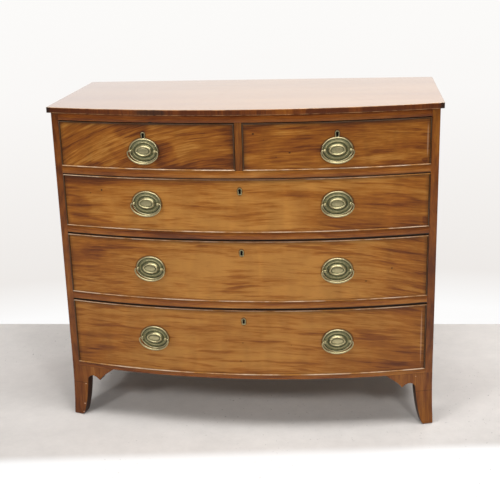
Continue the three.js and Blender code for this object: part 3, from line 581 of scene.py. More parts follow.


# Top board: crossbanded front edge, rubbed arrises with a painted highlight, a glossy upper face
top = {
    "arris": 0.5 * millimetre,
    "edgeSearch": 1.6 * millimetre,
    "rubbedAndLitFace": (1.5 * millimetre, 3.5 * millimetre),  # behind the front edge
    "rubbedAndLitBelow": (0.8 * millimetre, 1.7 * millimetre),  # up from the lower arris
    "rubbedAndLitAbove": (-1.9 * millimetre, -0.9 * millimetre),  # down from the upper arris
    "rubbedAndLitEnds": (18 * millimetre, 6 * millimetre),  # the pale line stops this far from the ends
    "endsDirt": (14 * millimetre, 7 * millimetre),
    "surface": {
        "axes": "xyz", "seed": 3.1, "tone": 0.62, "broad": 0.5, "ribbon": 0.35, "fine": 0.25, "flame": 0.03,
        "coat": 1.0, "coatRoughness": 0.10, "roughness": 0.24, "specular": 0.6, "light": 1.1, "mottle": 0.12,
        "bump": 0.05, "tint": (1.05, 1.25, 2.6), "paleEdgeColour": (0.62, 0.50, 0.27),
    },
    "edge": {
        "axes": "zxy", "seed": 0.7, "tone": 0.21, "broad": 0.5, "ribbon": 0.8, "fine": 0.6, "wander": 0.004,
        "roughness": 0.4, "light": 0.72, "mottle": 0.5, "paleEdgeColour": (0.46, 0.24, 0.10),
        "tint": (1.0, 0.86, 0.6),
        "clouds": [(430, 911, 260, 30, 0.1), (-440, 911, 200, 30, 0.08), (20, 911, 160, 30, -0.1)],
        "blocks": 22.0, "blockStep": 0.3, "marks": [(-229, 911, 52, 12, 0.62)],
    },
}
topProud = faceY(0.0) - topLow.y  # how far the top stands in front of the drawers


def nearEnds(x, reach):
    return x.size().rise(*(topHigh.x - part for part in reach))


def rubbedAndLitArris(shade, x, y, z, ribbon):
    # a pale line along the front of the upper face: wear, and a painted highlight on the arris
    behind = behindBow(shade, x, y, topProud)
    return (1.0 - behind.rise(*top["rubbedAndLitFace"])) * ribbon.rise(0.3, 0.5) * 0.5


def rubbedAndLitTopEdge(shade, x, y, z, ribbon):
    # pale lines along the lower and upper arrises of the edge: wear, and a painted highlight
    lower = 1.0 - (z - topLow.z).rise(*top["rubbedAndLitBelow"])
    upper = (z - topHigh.z).rise(*top["rubbedAndLitAbove"])
    return lower.most(upper) * ribbon.rise(0.33, 0.6) * 0.7 * (1.0 - nearEnds(x, top["rubbedAndLitEnds"]))


def topEndsDirt(shade, x, y, z, ribbon):
    return nearEnds(x, top["endsDirt"]) * 0.8


def makeTop():
    bm = copyOf("top_board")
    front = [e for e in frontEdges(bm, topProud, top["edgeSearch"]) if isLevel(e)]
    bevelEdges(bm, front, top["arris"])
    ends = [
        e for e in bm.edges
        if all(abs(abs(v.co.x) - topHigh.x) < touching for v in e.verts) and e.calc_face_angle(0.0) > 0.6
    ]
    bevelEdges(bm, ends, top["arris"])
    roundTheBow(bm, (topLow.x, topHigh.x), 0.0)
    shadeByAngle(bm)
    for face in bm.faces:
        if abs(face.normal.z) < 0.8:
            face.material_index = 1
    surface = mahogany("top_surface", {**top["surface"], "paleEdge": rubbedAndLitArris})
    edge = mahogany("top_edge_banding", {**top["edge"], "paleEdge": rubbedAndLitTopEdge, "dirtAndShade": topEndsDirt})
    addPiece("bowed_top", bm, [surface, edge], "case", ["top_board"])


# Rails, divider and base: polished in front, bare wood behind
rails = {
    "arris": 0.5 * millimetre,
    "faceDepth": 2 * millimetre,
    "endGap": 0.7 * millimetre,  # the bow of the frame starts this far outside the drawers
    "shadeReach": (1.1 * millimetre, 2.3 * millimetre),  # up from the lower edge, left and right
    "shadeFade": 1 * millimetre,
    "look": {
        "tone": 0.5, "broad": 0.9, "ribbon": 0.9, "fine": 0.8, "light": 1.0, "roughness": 0.33, "coat": 0.15,
        "tint": (1.0, 0.99, 1.15),
    },
    "upright": {"axes": "zxy", "depthShare": 0.3, "wander": 0.006, "tone": 0.33, "tint": (0.88, 0.98, 1.3)},
}


def makeRail(name, node, seed, upright=False, underEdgeShade=0.0, **own):
    low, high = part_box(node)

    def underEdgeShading(shade, x, y, z, ribbon):
        # painted shade along the lower edge, standing for the dark gap below it, wider towards the right
        left, right = rails["shadeReach"]
        reach = left + x.rise(-0.4, 0.5) * (right - left)
        return (1.0 - (z - low.z - reach).rise(0.0, rails["shadeFade"])) * underEdgeShade

    bm = copyOf(node)
    bevelEdges(bm, [e for e in frontEdges(bm) if isLevel(e) != upright], rails["arris"], 2)
    if not upright:
        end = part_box("short_left_drawer_front")[0].x - rails["endGap"]
        roundTheBow(bm, (end, -end), rails["faceDepth"])
    shadeByAngle(bm)
    for face in bm.faces:
        middle = face.calc_center_median()
        if middle.y > faceY(middle.x) + rails["faceDepth"]:
            face.material_index = 1
    look = {**rails["look"], **(rails["upright"] if upright else {})}
    look.update({"seed": seed, "dirtAndShade": underEdgeShading, **own})
    material = mahogany(name + "_mahogany", look)
    addPiece(name, bm, [material, carcase], "case", [node])


# Sides: one board each, grain upright, front edge worn round
sides = {
    "arris": 0.7 * millimetre,
    "look": {
        "axes": "zyx", "broad": 1.0, "ribbon": 0.8, "light": 0.92, "roughness": 0.32, "coat": 0.15,
        "tint": (1.0, 1.0, 1.1), "wander": 0.03,
    },
}


def makeSide(name, node, seed, tone):
    low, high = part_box(node)
    outer = high.x if high.x > 0 else low.x
    bm = copyOf(node)
    edges = [
        e for e in bm.edges
        if all(abs(v.co.x - outer) < touching for v in e.verts) and not isLevel(e)
        and e.is_manifold and e.calc_face_angle(0.0) > 0.6
    ]
    bevelEdges(bm, edges, sides["arris"])
    shadeByAngle(bm)
    material = mahogany(name + "_mahogany", {**sides["look"], "seed": seed, "tone": tone})
    addPiece(name, bm, [material], "case", [node])


makeTop()
makeRail(
    "bowed_top_rail", "top_rail", 1.3, marks=[(-234, 883.5, 6, 3, 1.0)], tone=0.36, tint=(0.88, 0.76, 0.62),
)
makeRail(
    "bowed_upper_rail", "upper_rail_and_dustboard", 4.9, underEdgeShade=0.5,
    clouds=[(330, 746, 280, 30, 0.2), (60, 746, 120, 30, 0.08)],
)
makeRail("bowed_middle_rail", "middle_rail_and_dustboard", 8.2, underEdgeShade=0.95)
makeRail("bowed_lower_rail", "lower_rail_and_dustboard", 12.6, underEdgeShade=0.95)
makeRail("bowed_base", "base_board", 15.4)
makeRail("rounded_divider", "short_drawer_divider", 2.2, upright=True)
makeSide("polished_left_side", "left_side", 6.4, 0.35)
makeSide("polished_right_side", "right_side", 9.9, 0.40)
print("case made")


# Handles stand where the bails' joints are, and a keyhole is in the middle of its drawer's handles
handleSpots = {}
for joint in frame["joints"]:
    if joint["type"] == "hinge":
        handleSpots.setdefault(joint["parent"], []).append(joint)
standoff = 10 * millimetre  # from a drawer's face to a bail's axis


def handlePlace(joint):
    along = -Vector(joint["axis"])
    outwards = Vector((along.y, -along.x, 0.0))
    return Vector(joint["pos_m"]) - outwards * standoff


# Drawers: bowed fronts with a figure of their own, and cock beads round them.
# Clouds, marks and scratches: middle, half width and half height in millimetres, then how much.
drawers = {
    "short_left_drawer": {
        "seed": 20.7, "slope": 0.05, "bend": -0.52, "tone": 0.33, "broad": 1.5, "ribbon": 1.3, "fine": 1.2,
        "flame": 0.28, "light": 0.88, "middle": -0.25, "endSpan": (0.12, 0.30), "endRedAndSheen": 0.05,
        "clouds": [(-268, 862, 66, 26, 0.26), (-198, 796, 40, 48, 0.24), (-306, 806, 34, 36, 0.16),
                   (-394, 768, 40, 12, 0.2), (-110, 812, 110, 70, -0.24)],
        "marks": [], "topLine": 0.1, "bottomLine": 0.95,
    },
    "short_right_drawer": {
        "seed": 31.5, "slope": 0.05, "bend": -0.08, "tone": 0.52, "broad": 1.0, "ribbon": 1.0, "fine": 1.1,
        "flame": 0.22, "light": 0.89, "middle": 0.24, "endSpan": (0.14, 0.26), "endRedAndSheen": 0.1,
        "clouds": [(487, 768, 10, 9, 0.3), (300, 868, 150, 18, 0.16), (60, 868, 60, 14, 0.16)],
        "marks": [(39, 854, 4, 2.6, 0.9), (133, 803, 3.4, 2.2, 0.85), (66, 838, 2, 1.6, 0.6),
                  (98, 792, 2, 1.6, 0.6)],
        "scratches": [(489.5, 822, 2.4, 50, 0.28)], "topLine": 0.1, "bottomLine": 0.95,
    },
    "upper_long_drawer": {
        "seed": 43.9, "drop": 0.12, "bend": -0.03, "tone": 0.68, "broad": 1.1, "ribbon": 0.8, "fine": 0.75,
        "flame": 0.24, "light": 0.95, "endSpan": (0.18, 0.5), "endRedAndSheen": 0.22,
        "clouds": [(-440, 640, 44, 42, 0.2), (-60, 620, 130, 26, 0.08), (-380, 720, 130, 18, 0.1),
                   (-90, 645, 70, 4, 0.12), (487, 604, 9, 16, 0.2), (20, 650, 170, 80, -0.12)],
        "marks": [(-385, 695, 3.4, 3, 0.85), (-418.6, 685, 2.4, 2, 0.6)], "topLine": 0.95, "bottomLine": 0.8,
        "topFade": 0.8,
    },
    "middle_long_drawer": {
        "seed": 57.2, "drop": 0.20, "bend": -0.03, "tone": 0.69, "broad": 1.15, "ribbon": 0.8, "fine": 0.9,
        "flame": 0.26, "light": 0.93, "endSpan": (0.22, 0.5), "endRedAndSheen": 0.16,
        "clouds": [(-430, 512, 50, 26, 0.18), (-262, 525, 44, 18, 0.1), (-160, 420, 60, 30, -0.06),
                   (400, 470, 190, 110, 0.09)],
        "marks": [(286, 514, 16, 1.2, 0.55), (333, 443.5, 3.2, 2.2, 0.8), (402, 476.5, 3, 2.4, 0.8)],
        "topLine": 0.9, "bottomLine": 0.7, "topFade": 0.5,
    },
    "lower_long_drawer": {
        "seed": 66.8, "drop": 0.20, "bend": -0.02, "tone": 0.68, "broad": 1.1, "ribbon": 1.0, "fine": 0.6,
        "flame": 0.26, "light": 0.90, "endSpan": (0.2, 0.5), "endRedAndSheen": 0.15,
        "marks": [(-4, 268, 2.2, 1.8, 0.7), (-11, 213, 3, 2, 0.7), (130, 262, 2, 1.6, 0.5)],
        "scratches": [(486, 268, 2.2, 92, 0.3)], "topLine": 0.9, "bottomLine": 0.9, "topFade": 0.45,
    },
}
frontBoard = {
    "thickness": 22 * millimetre, "skin": 1.5 * millimetre, "keyholeDrop": 33 * millimetre,
    # half width and half height of the dirt left round the brass when it is rubbed, with the shadow of the
    # brass painted in
    "plateDirtAndShade": (44 * millimetre, 36 * millimetre), "keyholeDirtAndShade": (9 * millimetre, 14 * millimetre),
}
bead = {
    "width": 3.1 * millimetre, "proud": 2.56 * millimetre, "root": 0.8 * millimetre,
    "round": 1.3 * millimetre,
    "overFront": 0.05 * millimetre,  # past the front's edges, which it covers
    "crest": (0.35 * millimetre, 0.1 * millimetre),  # the pale stretch, rubbed and with a painted highlight, back from the outermost line
    "wood": (0.10, 0.036, 0.014), "pale": (0.68, 0.50, 0.34), "sideLine": 0.1, "specular": 0.12,
}


def makeFront(drawer, look):
    node = drawer + "_front"
    low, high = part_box(node)
    bm = copyOf(node)
    roundTheBow(bm, (low.x, high.x), 1.0)
    for vert in bm.verts:  # the frame's square beads give way to the round ones
        vert.co.y = max(vert.co.y, faceY(vert.co.x))
    bmesh.ops.remove_doubles(bm, verts=bm.verts, dist=touching)
    bmesh.ops.dissolve_degenerate(bm, edges=bm.edges, dist=touching)
    shadeByAngle(bm, 22)
    for face in bm.faces:
        middle = face.calc_center_median()
        if middle.y > faceY(middle.x) + frontBoard["skin"]:
            face.material_index = 1
    places = [handlePlace(joint) for joint in handleSpots[drawer]]
    keyhole = Vector((meanOf([place.x for place in places]), 0.0, high.z - frontBoard["keyholeDrop"]))

    # dirt round the keyhole and the plates, with painted shadow where the brass stands over the face
    def dirtAndShadeRoundFittings(shade, x, y, z, ribbon):
        def apartFrom(place, reach):
            across, up = (x - place.x) / reach[0], (z - place.z) / reach[1]
            return across * across + up * up

        dirtAndShade = (1.0 - apartFrom(keyhole, frontBoard["keyholeDirtAndShade"]).rise(0.4, 1.1)) * 0.75
        for place in places:
            apart = apartFrom(place, frontBoard["plateDirtAndShade"]) + (ribbon - 0.5) * 0.3
            dirtAndShade = dirtAndShade.most((1.0 - apart.rise(0.86, 1.14)) * 0.6)
        return dirtAndShade

    look = {**look, "frameOf": (low, high), "dirtAndShade": dirtAndShadeRoundFittings}
    material = mahogany(drawer + "_figure", look)
    addPiece(drawer + "_bowed_front", bm, [material, carcase], drawer, [node])


def beadWood(drawer, look, low, high):
    # dark beads; the level ones are pale along their upper half, in places honey-coloured: wear, and a
    # painted highlight where light from above catches them
    material, shade, principled = newMaterial(drawer + "_beads")
    x, y, z = shade.node("TexCoord", None, None, 3).split()
    streak = shade.noise(shade.join(x * 9.0, z * 9.0, 0.0), 1.0, 4.0, 0.65)
    fine = shade.noise(shade.join(x * 60.0, z * 60.0, y * 60.0), 1.0, 3.0, 0.6)
    width = bead["width"]
    fromTop = z - high.z + width
    upper = fromTop.rise(0.0, 0.25 * width) * (1.0 - fromTop.rise(0.72 * width, 0.88 * width))
    upper = upper * look["topLine"] * (1.0 - look.get("topFade", 0.0) * (1.0 - x.size().rise(0.05, 0.4)))
    lower = (z - low.z).rise(0.25 * width, 0.5 * width) * (1.0 - (z - low.z).rise(width * 1.05, width * 1.1))
    proud = behindBow(shade, x, y) * -1.0
    crest = proud.rise(*(bead["proud"] - part for part in bead["crest"])) * bead["sideLine"]
    # painted highlight, with wear: the pale upper halves of the level beads and the line along every crest
    rubbed = upper.most(lower * look["bottomLine"]).most(crest)
    wood = shade.mixed((fine - 0.3).clamped(), tinted(bead["wood"]), tinted(mahoganyColours["brown"]))
    upright = 1.0 - (x - low.x).least(high.x - x).rise(width * 1.02, width * 1.1)
    # painted shade: the uprights and the upper edge of the top bead go near-black, standing for the shadow
    # beside the front and under the rail
    black = upright.most(fromTop.rise(0.0, 0.1 * width) * (1.0 - 0.6 * look["topLine"]))
    wood = shade.mixed(black * 0.8, wood, tinted(mahoganyColours["grimeAndShade"]))
    pale = shade.mixed(streak.rise(0.38, 0.6), tinted(mahoganyColours["honey"]), tinted(bead["pale"]))
    wood = shade.mixed((rubbed * (0.85 + (fine - 0.5) * 0.8)).clamped(), wood, pale)
    dress(shade, principled, wood, 0.42 + (fine - 0.5) * 0.2, fine, 0.2, 0.1 * millimetre)
    principled.inputs["Specular IOR Level"].default_value = bead["specular"]
    return material


def makeBeads(drawer, look):
    low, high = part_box(drawer + "_front")
    grow = bead["overFront"]
    bm = bmesh.new()
    bmesh.ops.create_grid(bm, x_segments=1, y_segments=1, size=0.5)
    for vert in bm.verts:
        vert.co = Vector((
            high.x + grow if vert.co.x > 0 else low.x - grow, bead["root"],
            high.z + grow if vert.co.y > 0 else low.z - grow,
        ))
    bm.normal_update()
    inner = bm.faces[:]
    bmesh.ops.inset_region(bm, faces=inner, thickness=bead["width"], use_boundary=True, use_even_offset=True)
    bmesh.ops.delete(bm, geom=inner, context="FACES")
    grown = bmesh.ops.extrude_face_region(bm, geom=bm.faces[:], use_keep_orig=True)
    front = {g for g in grown["geom"] if isinstance(g, bmesh.types.BMVert)}
    for vert in front:
        vert.co.y = -bead["proud"]
    bm.normal_update()
    crest = [e for e in bm.edges if all(v in front for v in e.verts) and e.calc_face_angle(0.0) > 0.5]
    bevelEdges(bm, crest, bead["round"], 4)
    sliceAcross(bm, slicesBetween(low.x, high.x, bow["slice"]))
    for vert in bm.verts:
        vert.co.y = faceY(vert.co.x, -vert.co.y)
    bmesh.ops.recalc_face_normals(bm, faces=bm.faces)
    shadeByAngle(bm, 40)
    material = beadWood(drawer, look, low, high)
    addPiece(drawer + "_cock_beads", bm, [material], drawer)


for drawer, look in drawers.items():
    makeFront(drawer, look)
    makeBeads(drawer, look)
    for part in ("left_side", "right_side", "back", "bottom"):
        node = frame["nodes"][drawer + "_" + part]
        node.data.materials.clear()
        node.data.materials.append(oak)
print("drawers made")


# Fittings: each one is made in its own frame, where -Y points out of the drawer, then set on the bow
def fittingFrame(x, z):
    turn = math.asin(x / faceRadius)
    return Matrix.Translation((x, faceY(x), z)) @ Matrix.Rotation(turn, 4, "Z")


handle = {
    "halfWidth": 41.5 * millimetre, "halfHeight": 33.5 * millimetre, "postSpacing": 68 * millimetre,
    "plateSteps": 72, "postSteps": 28, "postPatina": 0.25, "roundShare": 0.2,
    # the plate's mouldings in millimetres: in from the edge and off the drawer, then the patina
    "mouldings": [
        (0.0, 0.3, 0.6), (0.0, 1.2, 0.35), (0.7, 2.4, 0.05), (1.8, 3.1, 0.0), (3.2, 2.7, 0.05),
        (4.2, 1.5, 0.75), (5.2, 1.1, 1.0), (6.4, 1.5, 0.65), (8.2, 1.9, 0.6), (9.6, 2.0, 0.55),
        (10.6, 2.7, 0.3), (11.6, 2.8, 0.3), (12.5, 2.2, 0.6), (14.2, 1.6, 0.75), (15.9, 1.5, 0.9),
        (17.0, 2.4, 0.65), (18.2, 4.6, 0.3), (19.6, 6.8, 0.08), (21.2, 7.9, 0.0), (22.6, 7.6, 0.05),
        (23.8, 6.6, 0.35), (24.9, 5.8, 0.85), (26.2, 6.1, 0.4), (28.6, 6.5, 0.15), (33.5, 6.6, 0.1),
    ],
    # a post in millimetres, from the tip of its head to its end in the nut: radius and depth
    "post": [
        (0.0, -14.4), (1.5, -14.3), (3.0, -13.5), (4.1, -12.0), (4.6, -10.0), (4.2, -8.2), (3.0, -6.6),
        (2.6, -5.6), (3.3, -5.1), (3.3, -4.2), (2.7, -3.6), (2.9, -1.0), (2.9, -0.6), (2.25, -0.6),
        (2.25, 22.9),
    ],
    "nut": {
        "radius": 7 * millimetre, "thickness": 3.5 * millimetre, "seat": 22.85 * millimetre,
        "arris": 0.5 * millimetre,
    },
}


def spun(bm, verts, steps, centre=(0, 0, 0)):
    # a solid turned out of the drawer, from a line of vertices
    edges = [bm.edges.new(pair) for pair in zip(verts, verts[1:])]
    bmesh.ops.spin(
        bm, geom=verts + edges, cent=centre, axis=(0, 1, 0), angle=2 * math.pi, steps=steps, use_merge=True,
    )


def patinaLayer(bm):
    return bm.verts.layers.float.get("patina") or bm.verts.layers.float.new("patina")


def paintPatina(bm, verts, value):
    layer = patinaLayer(bm)
    for vert in verts:
        vert[layer] = value


def smoothLine(points, steps):
    # a smooth curve through the points, with this many steps to each
    line = []
    for i in range(len(points) - 1):
        a, b, c, d = (points[max(0, min(len(points) - 1, i + k))] for k in (-1, 0, 1, 2))
        for j in range(steps):
            t = j / steps
            line.append(tuple(
                0.5 * (
                    2 * q + (r - p) * t + (2 * p - 5 * q + 4 * r - s) * t ** 2
                    + (3 * q - p - 3 * r + s) * t ** 3
                )
                for p, q, r, s in zip(a, b, c, d)
            ))
    line.append(points[-1])
    return line


def makePlate(name, node, body, place):
    bm = bmesh.new()
    layer = patinaLayer(bm)
    halfWidth, halfHeight = handle["halfWidth"], handle["halfHeight"]
    line = [(i * millimetre, h * millimetre, p) for i, h, p in handle["mouldings"]]
    line = [(halfHeight, *line[0][1:]), line[0], *smoothLine(line[1:], 3)]  # the back is flat
    verts = [bm.verts.new((halfHeight - inset, -height, 0.0)) for inset, height, patina in line]
    for vert, (inset, height, patina) in zip(verts, line):
        vert[layer] = max(0.0, min(1.0, patina))
    spun(bm, verts, handle["plateSteps"])
    bmesh.ops.remove_doubles(bm, verts=bm.verts, dist=weld)
    for vert in bm.verts:  # from a round plate to an oval one with mouldings of even width
        radius = math.hypot(vert.co.x, vert.co.z)
        if radius > 0:
            share = min(1.0, radius / (halfHeight * handle["roundShare"]))
            longer = (halfWidth - halfHeight) * share * share * (3 - 2 * share)
            vert.co.x *= (radius + longer) / radius
    nut = handle["nut"]
    for side in (-1, 1):
        x = side * handle["postSpacing"] / 2
        post = [(x + r * millimetre, y * millimetre, 0.0) for r, y in handle["post"]]
        old = set(bm.verts)
        spun(bm, [bm.verts.new(p) for p in [*post, (x, nut["seat"], 0.0)]], handle["postSteps"], (x, 0, 0))
        middle = Matrix.Translation((x, nut["seat"] + nut["thickness"] / 2, 0))
        made = bmesh.ops.create_cone(
            bm, cap_ends=True, segments=6, radius1=nut["radius"], radius2=nut["radius"],
            depth=nut["thickness"], matrix=middle @ Matrix.Rotation(math.pi / 2, 4, "X"),
        )
        bevelEdges(bm, edgesOf(made["verts"]), nut["arris"], 2)
        paintPatina(bm, [v for v in bm.verts if v not in old], handle["postPatina"])
    bmesh.ops.remove_doubles(bm, verts=bm.verts, dist=weld)
    bmesh.ops.recalc_face_normals(bm, faces=bm.faces)
    bmesh.ops.transform(bm, matrix=place, verts=bm.verts)
    shadeByAngle(bm, 50)
    addPiece(name, bm, [brass], body, [node])


bail = {
    "pin": 36 * millimetre, "halfWidth": 42.5 * millimetre, "drop": 33.5 * millimetre,
    "corner": 4.5 * millimetre, "pinRadius": 1.5 * millimetre, "endRadius": 1.9 * millimetre,
    "middleRadius": 2.7 * millimetre, "arcSteps": 40, "cornerSteps": 8, "roundSteps": 5, "patina": 0.15,
}


def bailLine():
    # across, up and radius, from one pin down round the bail to the other
    points = [(bail["pin"], 0.0, bail["pinRadius"])]
    bend = bail["halfWidth"] - bail["corner"]
    for i in range(bail["cornerSteps"] + 1):
        share = i / bail["cornerSteps"]
        angle = share * math.pi / 2
        radius = bail["pinRadius"] + (bail["endRadius"] - bail["pinRadius"]) * share
        points.append((
            bend + bail["corner"] * math.sin(angle), -bail["corner"] * (1 - math.cos(angle)), radius,
        ))
    for i in range(1, bail["arcSteps"] // 2 + 1):
        angle = math.pi * i / bail["arcSteps"]
        radius = bail["endRadius"] + (bail["middleRadius"] - bail["endRadius"]) * math.sin(angle) ** 2
        fall = bail["corner"] + (bail["drop"] - bail["corner"]) * math.sin(angle)
        points.append((bail["halfWidth"] * math.cos(angle), -fall, radius))
    return points + [(-x, z, radius) for x, z, radius in reversed(points[:-1])]


def makeBail(name, node, body, place):
    points = bailLine()
    curve = bpy.data.curves.new(name, "CURVE")
    curve.dimensions = "3D"
    curve.bevel_depth = 1.0
    curve.bevel_resolution = bail["roundSteps"]
    curve.use_fill_caps = True
    spline = curve.splines.new("POLY")
    spline.points.add(len(points) - 1)
    for point, (x, z, radius) in zip(spline.points, points):
        point.co = (x, -standoff, z, 1.0)
        point.radius = radius
    rod = bpy.data.objects.new(name, curve)
    mesh = bpy.data.meshes.new_from_object(rod)
    bpy.data.objects.remove(rod)
    bpy.data.curves.remove(curve)
    bm = bmesh.new()
    bm.from_mesh(mesh)
    bpy.data.meshes.remove(mesh)
    bmesh.ops.remove_doubles(bm, verts=bm.verts, dist=weld)
    bmesh.ops.recalc_face_normals(bm, faces=bm.faces)
    paintPatina(bm, bm.verts, bail["patina"])
    bmesh.ops.transform(bm, matrix=place, verts=bm.verts)
    shadeByAngle(bm, 50)
    addPiece(name, bm, [brass], body, [node])


for drawer, joints in handleSpots.items():
    for joint in joints:
        foot = handlePlace(joint)
        place = fittingFrame(foot.x, foot.z)
        label = joint["child"][:-len("_bail")]
        makePlate(label + "_oval_plate", label + "_handle_plate", drawer, place)
        makeBail(label + "_swing_bail", label + "_handle_bail", joint["child"], place)
print("handles made")


lock = {
    "caseWidth": 52 * millimetre, "caseHeight": 38 * millimetre, "caseDepth": 11 * millimetre,
    "selvageWidth": 66 * millimetre, "selvageInset": 7 * millimetre, "selvageThickness": 2 * millimetre,
    "drop": 30 * millimetre, "keyRadius": 3.6 * millimetre, "slotHalf": 2.9 * millimetre,
    "slotDrop": 10 * millimetre, "rim": 2.3 * millimetre, "proud": 0.3 * millimetre, "arcSteps": 20,
    "gap": 0.3 * millimetre, "arris": 0.4 * millimetre, "rimArris": 0.35 * millimetre,
    "screw": {
        "place": 27 * millimetre, "radius": 2.6 * millimetre, "topRadius": 2.3 * millimetre,
        "head": 0.5 * millimetre,
    },
    "patina": {"case": 0.45, "screws": 0.2, "rim": 0.3},
    # painted shadow: the hole is near-black from just behind its rim, and no higher than this below the top
    # of the lock
    "shadowFrom": 0.2 * millimetre, "shadowBelow": 10 * millimetre, "shadowColour": (0.006, 0.005, 0.004),
}
keyholeShadow, _, keyholeShadowSurface = newMaterial("keyhole_painted_shadow")
keyholeShadowSurface.inputs["Base Color"].default_value = tinted(lock["shadowColour"])
keyholeShadowSurface.inputs["Roughness"].default_value = 0.9


def keyholeFace(bm, grow, y):
    # the keyhole's outline, this much larger all round: its round part, then the slot's lower corners
    radius, half, drop = (lock[part] + grow for part in ("keyRadius", "slotHalf", "slotDrop"))
    start = -math.pi / 2 + math.asin(half / radius)
    sweep = 2 * math.pi - 2 * math.asin(half / radius)
    angles = [start + sweep * i / lock["arcSteps"] for i in range(lock["arcSteps"] + 1)]
    points = [(radius * math.cos(angle), radius * math.sin(angle)) for angle in angles]
    points += [(-half, -drop), (half, -drop)]
    return bm.faces.new([bm.verts.new((x, y, z - lock["drop"])) for x, z in points])


def pulled(bm, face, y, keep=False):
    # extrudes a face to this y and returns it there
    grown = bmesh.ops.extrude_face_region(bm, geom=[face], use_keep_orig=True)["geom"]
    for vert in [g for g in grown if isinstance(g, bmesh.types.BMVert)]:
        vert.co.y = y
    if not keep:
        bmesh.ops.delete(bm, geom=[face], context="FACES_ONLY")
    bm.normal_update()
    return next(g for g in grown if isinstance(g, bmesh.types.BMFace))


def boxed(bm, low, high, arris):
    made = bmesh.ops.create_cube(bm, size=1.0)
    for vert in made["verts"]:
        vert.co = Vector(b if c > 0 else a for a, b, c in zip(low, high, vert.co))
    bevelEdges(bm, edgesOf(made["verts"]), arris, 2)


def makeLock(drawer, place):
    bm = bmesh.new()
    thickness = frontBoard["thickness"]
    back = thickness - lock["caseDepth"]
    gap, patina, screw = lock["gap"], lock["patina"], lock["screw"]
    boxed(
        bm, (-lock["caseWidth"] / 2, back, -lock["caseHeight"]),
        (lock["caseWidth"] / 2, thickness, -lock["selvageThickness"] - gap), lock["arris"],
    )
    boxed(
        bm, (-lock["selvageWidth"] / 2, lock["selvageInset"], -lock["selvageThickness"] - gap),
        (lock["selvageWidth"] / 2, thickness, -gap), lock["arris"],
    )
    paintPatina(bm, bm.verts, patina["case"])
    for side in (-1, 1):  # screws through the selvage
        middle = (side * screw["place"], (lock["selvageInset"] + thickness) / 2, -gap)
        made = bmesh.ops.create_cone(
            bm, cap_ends=True, segments=20, radius1=screw["radius"], radius2=screw["topRadius"],
            depth=screw["head"], matrix=Matrix.Translation(middle),
        )
        paintPatina(bm, made["verts"], patina["screws"])
    old = set(bm.faces)
    liner = pulled(bm, keyholeFace(bm, lock["rim"], back), -lock["proud"], True)
    bmesh.ops.inset_region(
        bm, faces=[liner], thickness=lock["rim"], use_boundary=True, use_even_offset=True,
    )
    pulled(bm, liner, back - gap)
    made = [f for f in bm.faces if f not in old]
    bmesh.ops.recalc_face_normals(bm, faces=made)
    rims = [
        e for e in {e for f in made for e in f.edges}
        if all(abs(v.co.y + lock["proud"]) < weld for v in e.verts) and e.calc_face_angle(0.0) > 0.5
    ]
    paintPatina(bm, [v for e in rims for v in e.verts], patina["rim"])
    bevelEdges(bm, rims, lock["rimArris"], 2)
    # painted shadow: faces inside the hole take the near-black material
    for face in bm.faces:
        middle = face.calc_center_median()
        fromKey = math.hypot(middle.x, middle.z + lock["drop"])
        inner = abs(middle.x) < lock["slotHalf"] * 1.05 or fromKey < lock["keyRadius"] * 1.01
        if inner and lock["shadowFrom"] < middle.y < back + touching and middle.z < -lock["shadowBelow"]:
            face.material_index = 1
    bmesh.ops.transform(bm, matrix=place, verts=bm.verts)
    shadeByAngle(bm, 40)
    addPiece(drawer + "_brass_lock", bm, [brass, keyholeShadow], drawer, [drawer + "_lock"])


for drawer, joints in handleSpots.items():
    keyX = meanOf([handlePlace(joint).x for joint in joints])
    makeLock(drawer, fittingFrame(keyX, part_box(drawer + "_lock")[1].z + lock["gap"]))
print("locks made")


# Feet
feet = {
    "height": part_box("front_right_foot")[1].z, "splay": 5 * millimetre, "toe": 29.5 * millimetre,
    "toeRound": 5 * millimetre, "legTop": 47 * millimetre, "legHeight": 120 * millimetre,
    "archCrown": 131 * millimetre, "cusp": 85 * millimetre, "cuspHeight": 119 * millimetre,
    "reach": 129.5 * millimetre, "thickness": 27 * millimetre, "rearThickness": 18 * millimetre,
    "rearReach": 105 * millimetre, "block": 14 * millimetre, "blockLift": 75 * millimetre,
    "blockArris": 1.5 * millimetre, "arris": 0.9 * millimetre, "curveSteps": 12, "toeSteps": 5,
    # middle points of the curves, as shares of their run and rise
    "legBend": (0.733, 0.37), "archBend": 0.34, "ogeeBends": ((0.11, 0.3), (0.52, 0.6)),
    "rearBend": (0.25, 0.8),
    "sideSplayShare": 0.75, "mitreSlope": -0.747,
    "slices": (11 * millimetre, 13 * millimetre),  # along and up a bracket, to follow the bow and the splay
    "look": {
        "axes": "zxy", "tone": 0.36, "broad": 1.0, "ribbon": 0.8, "light": 0.9, "roughness": 0.36,
        "coat": 0.12, "depthShare": 0.6, "tint": (0.98, 1.0, 1.2), "wander": 0.01,
    },
    # shaped edges, backs and glue blocks: dark stained wood, darkened further as painted shade where they
    # face in under the case
    "shadedEdgeLook": {"seed": 5.5, "tone": 0.14, "light": 0.3},
    "seeds": {
        "front_right_foot": 52.8, "front_left_foot": 57.2, "back_right_foot": 49.5, "back_left_foot": 53.9,
    },
    "seam": 104 * millimetre,  # where the legs were pieced
    "seamLine": (0.5 * millimetre, 1.3 * millimetre), "seamWander": 0.8 * millimetre,
    "leftTint": (0.83, 0.78, 0.95),
    "scratches": [(-482, 101, 3.6, 1.6, 0.9), (-490.3, 36.7, 3.0, 2.4, 0.9), (-495.5, 9.5, 2.6, 1.8, 0.9),
                  (474, 150, 2, 1.6, 0.6)],
}


